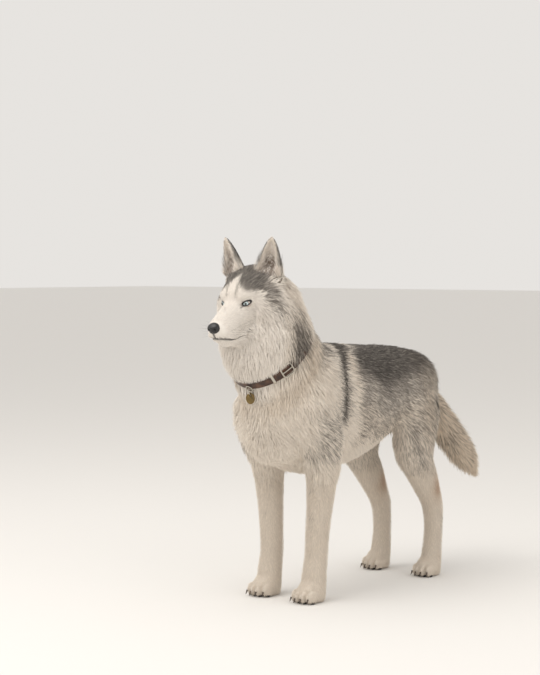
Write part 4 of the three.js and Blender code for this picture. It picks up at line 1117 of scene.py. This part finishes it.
def make_nose():
    bm = bmesh.new()
    bmesh.ops.create_uvsphere(bm, u_segments=72, v_segments=54, radius=1)
    mesh = mesh_of("nose", bm)
    s = corners_of(mesh)
    h = s * NOSE_SIZE
    h[:, 2] *= np.where(s[:, 2] > 0, 1.0, 0.95)
    h[:, 0] *= 1 + 0.06 * ease(s[:, 2])
    h[:, 1] += 3.0 * ease(s[:, 2] - 0.2)  # the top slopes back
    front = ease((-s[:, 1] - 0.1) / 0.5)
    for side in (1, -1):
        q = np.stack([h[:, 0] - side * 7.2, h[:, 2] + 0.5], 1)
        hole = np.exp(-((q[:, 0] / 2.9) ** 2 + (q[:, 1] / 3.4) ** 2))
        slit = np.exp(-(((h[:, 0] - side * 12.0) / 4.2) ** 2 + ((h[:, 2] + 5.5) / 1.6) ** 2))
        h[:, 1] += front * (7.0 * hole + 2.6 * slit)
    h[:, 1] += front * 1.8 * np.exp(-((h[:, 0] / 1.2) ** 2)) * ease((4 - h[:, 2]) / 8)
    set_corners(mesh, placed(from_head(h + NOSE_PLACE)))
    o = piece("nose", mesh, nose_look, "nose")


make_nose()

# Whiskers
whisker_root, whisker_way, whisker_long = [], [], []
for s in (1, -1):
    for row in range(4):
        for n in range(4):
            y = -128 + 10 * n + 3 * row
            z = -30 - 5 * row
            start = np.array([0.0, y, z])
            way = np.array([s, 0.0, 0.0])
            x = along_ray(head_field, start, way, 60.0)
            whisker_root.append(from_head(start + way * (x - 1)))
            fan = unit(np.array([s * 0.9, -0.25 + 0.28 * n, 0.10 - 0.14 * row]))
            whisker_way.append(fan @ HEAD_AXES.T)
            whisker_long.append(30 + 6 * n + 4 * random.random())
whisker_root, whisker_way = np.array(whisker_root), np.array(whisker_way)
whisker_long = np.array(whisker_long)
dark_hair = np.tile(colour(70, 62, 58), (len(whisker_root), 1))
whisker_normal = unit(np.cross(whisker_way, np.cross(UP, whisker_way)))
tufts("whiskers", whisker_root, whisker_normal, whisker_way, whisker_long, np.full(len(whisker_root), 0.55),
      np.full(len(whisker_root), 0.12), dark_hair, dark_hair, dark_hair, np.full((len(whisker_root), 2), 0.5), coat_look, curl=0.05)

# Claws and pads
bm = bmesh.new()
for x, y, long, wide in (FORE_PAW, HIND_PAW):
    for side in (1, -1):
        for n in (-1.5, -0.5, 0.5, 1.5):
            place = np.array([side * x + n * wide * 0.51, y - long * (0.95 - 0.13 * abs(n)), 9.0])
            tip = Matrix.Rotation(math.radians(n * 7), 4, "Z") @ Matrix.Rotation(math.radians(64 + 90 + 0), 4, "X")
            at = Matrix.Translation(Vector(placed(place))) @ tip
            bmesh.ops.create_cone(bm, cap_ends=True, segments=12, radius1=0.0024, radius2=0.0005, depth=0.011, matrix=at)
claws = piece("claws", mesh_of("claws", bm), claw_look)
bm = bmesh.new()
for x, y, long, wide in (FORE_PAW, HIND_PAW):
    for side in (1, -1):
        pads = [(0, 0.02, wide * 0.5, long * 0.26)]
        pads += [(n * wide * 0.48, -(0.58 - 0.13 * abs(n)) * long, wide * 0.19, long * 0.17) for n in (-1.5, -0.5, 0.5, 1.5)]
        for dx, dy, rx, ry in pads:
            at = Matrix.Translation(Vector(placed((side * x + dx, y + dy, 3.4))))
            bmesh.ops.create_uvsphere(bm, u_segments=20, v_segments=12, radius=1, matrix=at @ Matrix.Diagonal((rx * MM, ry * MM, 3.3 * MM, 1)))
pads = piece("paw_pads", mesh_of("paw_pads", bm), pad_look)

# Collar
RUFF_DEPTH, BREECHES_DEPTH = 11, 10
collar_side = np.array([1.0, 0.0, 0.0])
collar_front = unit(np.cross(collar_side, COLLAR_AXIS))


def core_field(p):
    ruff = RUFF_DEPTH * ease((p[:, 2] - 345) / 50) * ease((-150 - p[:, 1]) / 50)
    return body_field(p) + ruff


def on_collar(turn, out, up):
    way = collar_side * math.cos(turn) + collar_front * math.sin(turn)
    far = along_ray(core_field, COLLAR_AT, way, 220.0) - COLLAR_SUNK + out
    return COLLAR_AT + way * far + COLLAR_AXIS * up


def strap_piece(name, start, sweep, inner, outer, width, steps, look, nodes=()):
    """A band with rounded edges, bent round the neck. It starts as a flat grid, which is then given its thickness."""
    full = sweep > 6
    bm = bmesh.new()
    bmesh.ops.create_grid(bm, x_segments=steps, y_segments=10, size=1)
    mesh = mesh_of(name, bm)
    s = corners_of(mesh)
    turns = np.unique(np.round(s[:, 0], 5))
    far = {t: on_collar(start + (t + 1) / 2 * sweep, 0, 0) for t in turns}
    rims = {t: unit(far[t] - COLLAR_AT) for t in turns}
    co = np.empty_like(s)
    crown = outer * (1 - 0.18 * s[:, 1] ** 4)
    for i, (u, v, _) in enumerate(s):
        t = round(u, 5)
        t = turns[np.abs(turns - t).argmin()]
        co[i] = far[t] + rims[t] * crown[i] + COLLAR_AXIS * v * width / 2
    set_corners(mesh, placed(co))
    uv = mesh.uv_layers.new(name="strap")
    index = np.empty(len(mesh.loops), int)
    mesh.loops.foreach_get("vertex_index", index)
    uv.data.foreach_set("uv", np.stack([(s[index, 0] + 1) / 2, (s[index, 1] + 1) / 2], 1).astype(np.float32).ravel())
    bm = bmesh.new()
    bm.from_mesh(mesh)
    bmesh.ops.remove_doubles(bm, verts=bm.verts, dist=0.00005)
    bmesh.ops.recalc_face_normals(bm, faces=bm.faces)
    middle = Vector(placed(COLLAR_AT))
    if sum(f.normal.dot(f.calc_center_median() - middle) for f in bm.faces) < 0:
        bmesh.ops.reverse_faces(bm, faces=bm.faces)
    bmesh.ops.solidify(bm, geom=bm.faces[:], thickness=(outer - inner) * MM)
    bmesh.ops.recalc_face_normals(bm, faces=bm.faces)
    o = piece(name, mesh_of(name, bm), look, *nodes)
    return o


FRONT = math.pi / 2
strap_piece("collar_strap", 0.0, 2 * math.pi, 0.4, 4.0, COLLAR_WIDTH, 120, strap_look, ("collar_strap",))
bm = bmesh.new()
bmesh.ops.create_icosphere(bm, subdivisions=1, radius=1)
stitch = mesh_of("stitch", bm)
thread_look = material("thread", colour(120, 92, 68), 0.7)
grain(thread_look, "ShaderNodeTexNoise", 1500.0, 0.2, 0.0002)
steps = np.linspace(0, 2 * math.pi, 96, endpoint=False)
round_neck = np.array([on_collar(t, 3.85, 0) for t in steps])
round_neck = np.stack([np.interp(np.arange(192) / 2, np.arange(97), np.append(c, c[0])) for c in round_neck.T], 1)
run = unit(np.roll(round_neck, -1, 0) - round_neck)
rows = [round_neck + COLLAR_AXIS * up for up in (-COLLAR_WIDTH / 2 + 2.6, COLLAR_WIDTH / 2 - 2.6)]
axes = np.stack([run * 1.25, np.cross(COLLAR_AXIS, run) * 0.42, np.tile(COLLAR_AXIS, (192, 1)) * 0.42], 1)
piece("collar_stitches", copies("collar_stitches", stitch, np.concatenate(rows), np.concatenate([axes, axes])), thread_look)
strap_piece("collar_keeper", FRONT - 0.605, 0.05, 4.3, 6.2, COLLAR_WIDTH + 4, 8, steel_look, ("collar_keeper",))


def collar_loop(name, turns, ups, out, radius, look, closed=True):
    points = np.array([on_collar(t, out, u) for t, u in zip(turns, ups)])
    return tube(name, points, radius, look, closed=closed, sides=10)


def rounded(turn_a, turn_b, half, corner=5):
    """A rounded rectangle in turn and height on the collar."""
    middle, reach = (turn_a + turn_b) / 2, (turn_b - turn_a) / 2
    t = np.linspace(0, 2 * math.pi, 40, endpoint=False)
    c, s = np.cos(t), np.sin(t)
    shape = lambda w: np.sign(w) * np.abs(w) ** 0.45
    return middle + reach * shape(c), half * shape(s)


turns, ups = rounded(FRONT - 1.06, FRONT - 0.80, COLLAR_WIDTH / 2 + 3)
buckle = collar_loop("collar_buckle", turns, ups, 5.8, 1.7, steel_look)
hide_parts("collar_buckle")
prong = collar_loop("collar_prong", np.linspace(FRONT - 1.05, FRONT - 0.80, 8), np.zeros(8), 6.4, 1.3, steel_look, closed=False)


def ring_piece(name, node, look, wire=1.3):
    """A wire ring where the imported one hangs, spun round its own middle."""
    lo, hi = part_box(node)
    middle, size = (lo + hi) / 2, hi - lo
    bm = bmesh.new()
    bmesh.ops.create_circle(bm, segments=14, radius=wire * MM)
    big = max(size) / 2 - wire * MM
    bmesh.ops.rotate(bm, verts=bm.verts, matrix=Matrix.Rotation(math.pi / 2, 3, "X"))
    bmesh.ops.translate(bm, verts=bm.verts, vec=(big, 0, 0))
    bmesh.ops.spin(bm, geom=bm.verts[:] + bm.edges[:], cent=(0, 0, 0), axis=(0, 0, 1), angle=2 * math.pi, steps=48, use_merge=True)
    bmesh.ops.remove_doubles(bm, verts=bm.verts, dist=0.00002)
    if size.x < size.y:
        turn = Matrix.Rotation(math.pi / 2, 4, "Y")
    else:
        tilt = math.atan2(COLLAR_AXIS[1], COLLAR_AXIS[2])
        turn = Matrix.Rotation(math.pi / 2 - tilt, 4, "X")
    bmesh.ops.transform(bm, verts=bm.verts, matrix=Matrix.Translation(middle) @ turn)
    bmesh.ops.recalc_face_normals(bm, faces=bm.faces)
    o = piece(name, mesh_of(name, bm), look, node)


ring_piece("tag_loop", "tag_loop", steel_look)
ring_piece("tag_ring", "tag_ring", steel_look)


def make_tag():
    lo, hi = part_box("tag")
    middle, size = (lo + hi) / 2, hi - lo
    bm = bmesh.new()
    radius, thick = size.x / 2, size.y
    bmesh.ops.create_cone(bm, cap_ends=True, segments=72, radius1=radius, radius2=radius, depth=thick)
    rims = [e for e in bm.edges if e.calc_face_angle(0) > 1]
    bmesh.ops.bevel(bm, geom=rims, offset=0.0005, segments=3, affect="EDGES", profile=0.5, material=-1)
    caps = [f for f in bm.faces if len(f.verts) > 20]
    inset = bmesh.ops.inset_region(bm, faces=caps, thickness=0.0011, depth=0)
    caps = [f for f in bm.faces if len(f.verts) > 20]
    bmesh.ops.inset_region(bm, faces=caps, thickness=0.0003, depth=-0.00025)
    bmesh.ops.rotate(bm, verts=bm.verts, matrix=Matrix.Rotation(math.pi / 2, 3, "X"))
    bmesh.ops.translate(bm, verts=bm.verts, vec=middle)
    bmesh.ops.recalc_face_normals(bm, faces=bm.faces)
    o = piece("tag", mesh_of("tag", bm), brass_look, "tag")
    bm = bmesh.new()
    bmesh.ops.create_cone(bm, cap_ends=True, segments=24, radius1=0.0023, radius2=0.0023, depth=0.02)
    bmesh.ops.rotate(bm, verts=bm.verts, matrix=Matrix.Rotation(math.pi / 2, 3, "X"))
    bmesh.ops.translate(bm, verts=bm.verts, vec=middle + Vector((0, 0, radius - 0.0043)))
    drill = bpy.data.objects.new("drill", mesh_of("drill", bm))
    bpy.context.scene.collection.objects.link(drill)
    cut = o.modifiers.new("hole", "BOOLEAN")
    cut.operation, cut.object, cut.solver = "DIFFERENCE", drill, "EXACT"
    applied(o)
    bpy.data.objects.remove(drill)


make_tag()

# Stage, light and camera
bm = bmesh.new()
bmesh.ops.create_grid(bm, x_segments=2, y_segments=2, size=40)
floor = bpy.data.objects.new("floor", mesh_of("floor", bm))
bpy.context.scene.collection.objects.link(floor)
floor_look = material("floor", colour(236, 234, 231), 0.9, Specular_IOR_Level=0.1)
floor.data.materials.append(floor_look)

world = bpy.data.worlds.new("sky")
bpy.context.scene.world = world
world.use_nodes = True
world.node_tree.nodes["Background"].inputs[0].default_value = (*colour(236, 233, 229), 1)
world.node_tree.nodes["Background"].inputs[1].default_value = 0.95


def lamp(name, place, size, power, tint):
    light = bpy.data.lights.new(name, "AREA")
    light.energy, light.size, light.color = power, size, tint
    o = bpy.data.objects.new(name, light)
    o.location = place
    aim = Vector((0, 0, 0.45)) - Vector(place)
    o.rotation_mode = "QUATERNION"
    o.rotation_quaternion = aim.to_track_quat("-Z", "Y")
    bpy.context.scene.collection.objects.link(o)


lamp("sky_light", (-0.6, -2.2, 3.6), 3.4, 85, (1.0, 0.97, 0.93))
lamp("fill_light", (3.2, -0.4, 1.6), 2.6, 16, (1.0, 0.98, 0.95))

CAMERA_TURN, CAMERA_FAR, CAMERA_HIGH = math.radians(38.0), 4.145, 0.79
CAMERA_YAW, CAMERA_PITCH, CAMERA_FOCAL = math.radians(-2.346), math.radians(2.48), 90.67
right = np.array([math.cos(CAMERA_TURN), math.sin(CAMERA_TURN), 0])
ahead = np.array([-math.sin(CAMERA_TURN), math.cos(CAMERA_TURN), 0])
camera = bpy.data.cameras.new("camera")
camera.lens, camera.sensor_width, camera.clip_end = CAMERA_FOCAL, 36, 200
eye = bpy.data.objects.new("camera", camera)
eye.location = Vector(-ahead * CAMERA_FAR + UP * CAMERA_HIGH + SHIFT * MM)
look = ahead * math.cos(CAMERA_YAW) + right * math.sin(CAMERA_YAW)
look = look * math.cos(CAMERA_PITCH) - UP * math.sin(CAMERA_PITCH)
eye.rotation_mode = "QUATERNION"
eye.rotation_quaternion = Vector(look).to_track_quat("-Z", "Y")
bpy.context.scene.collection.objects.link(eye)
bpy.context.scene.camera = eye
bpy.context.scene.view_settings.view_transform = "Standard"
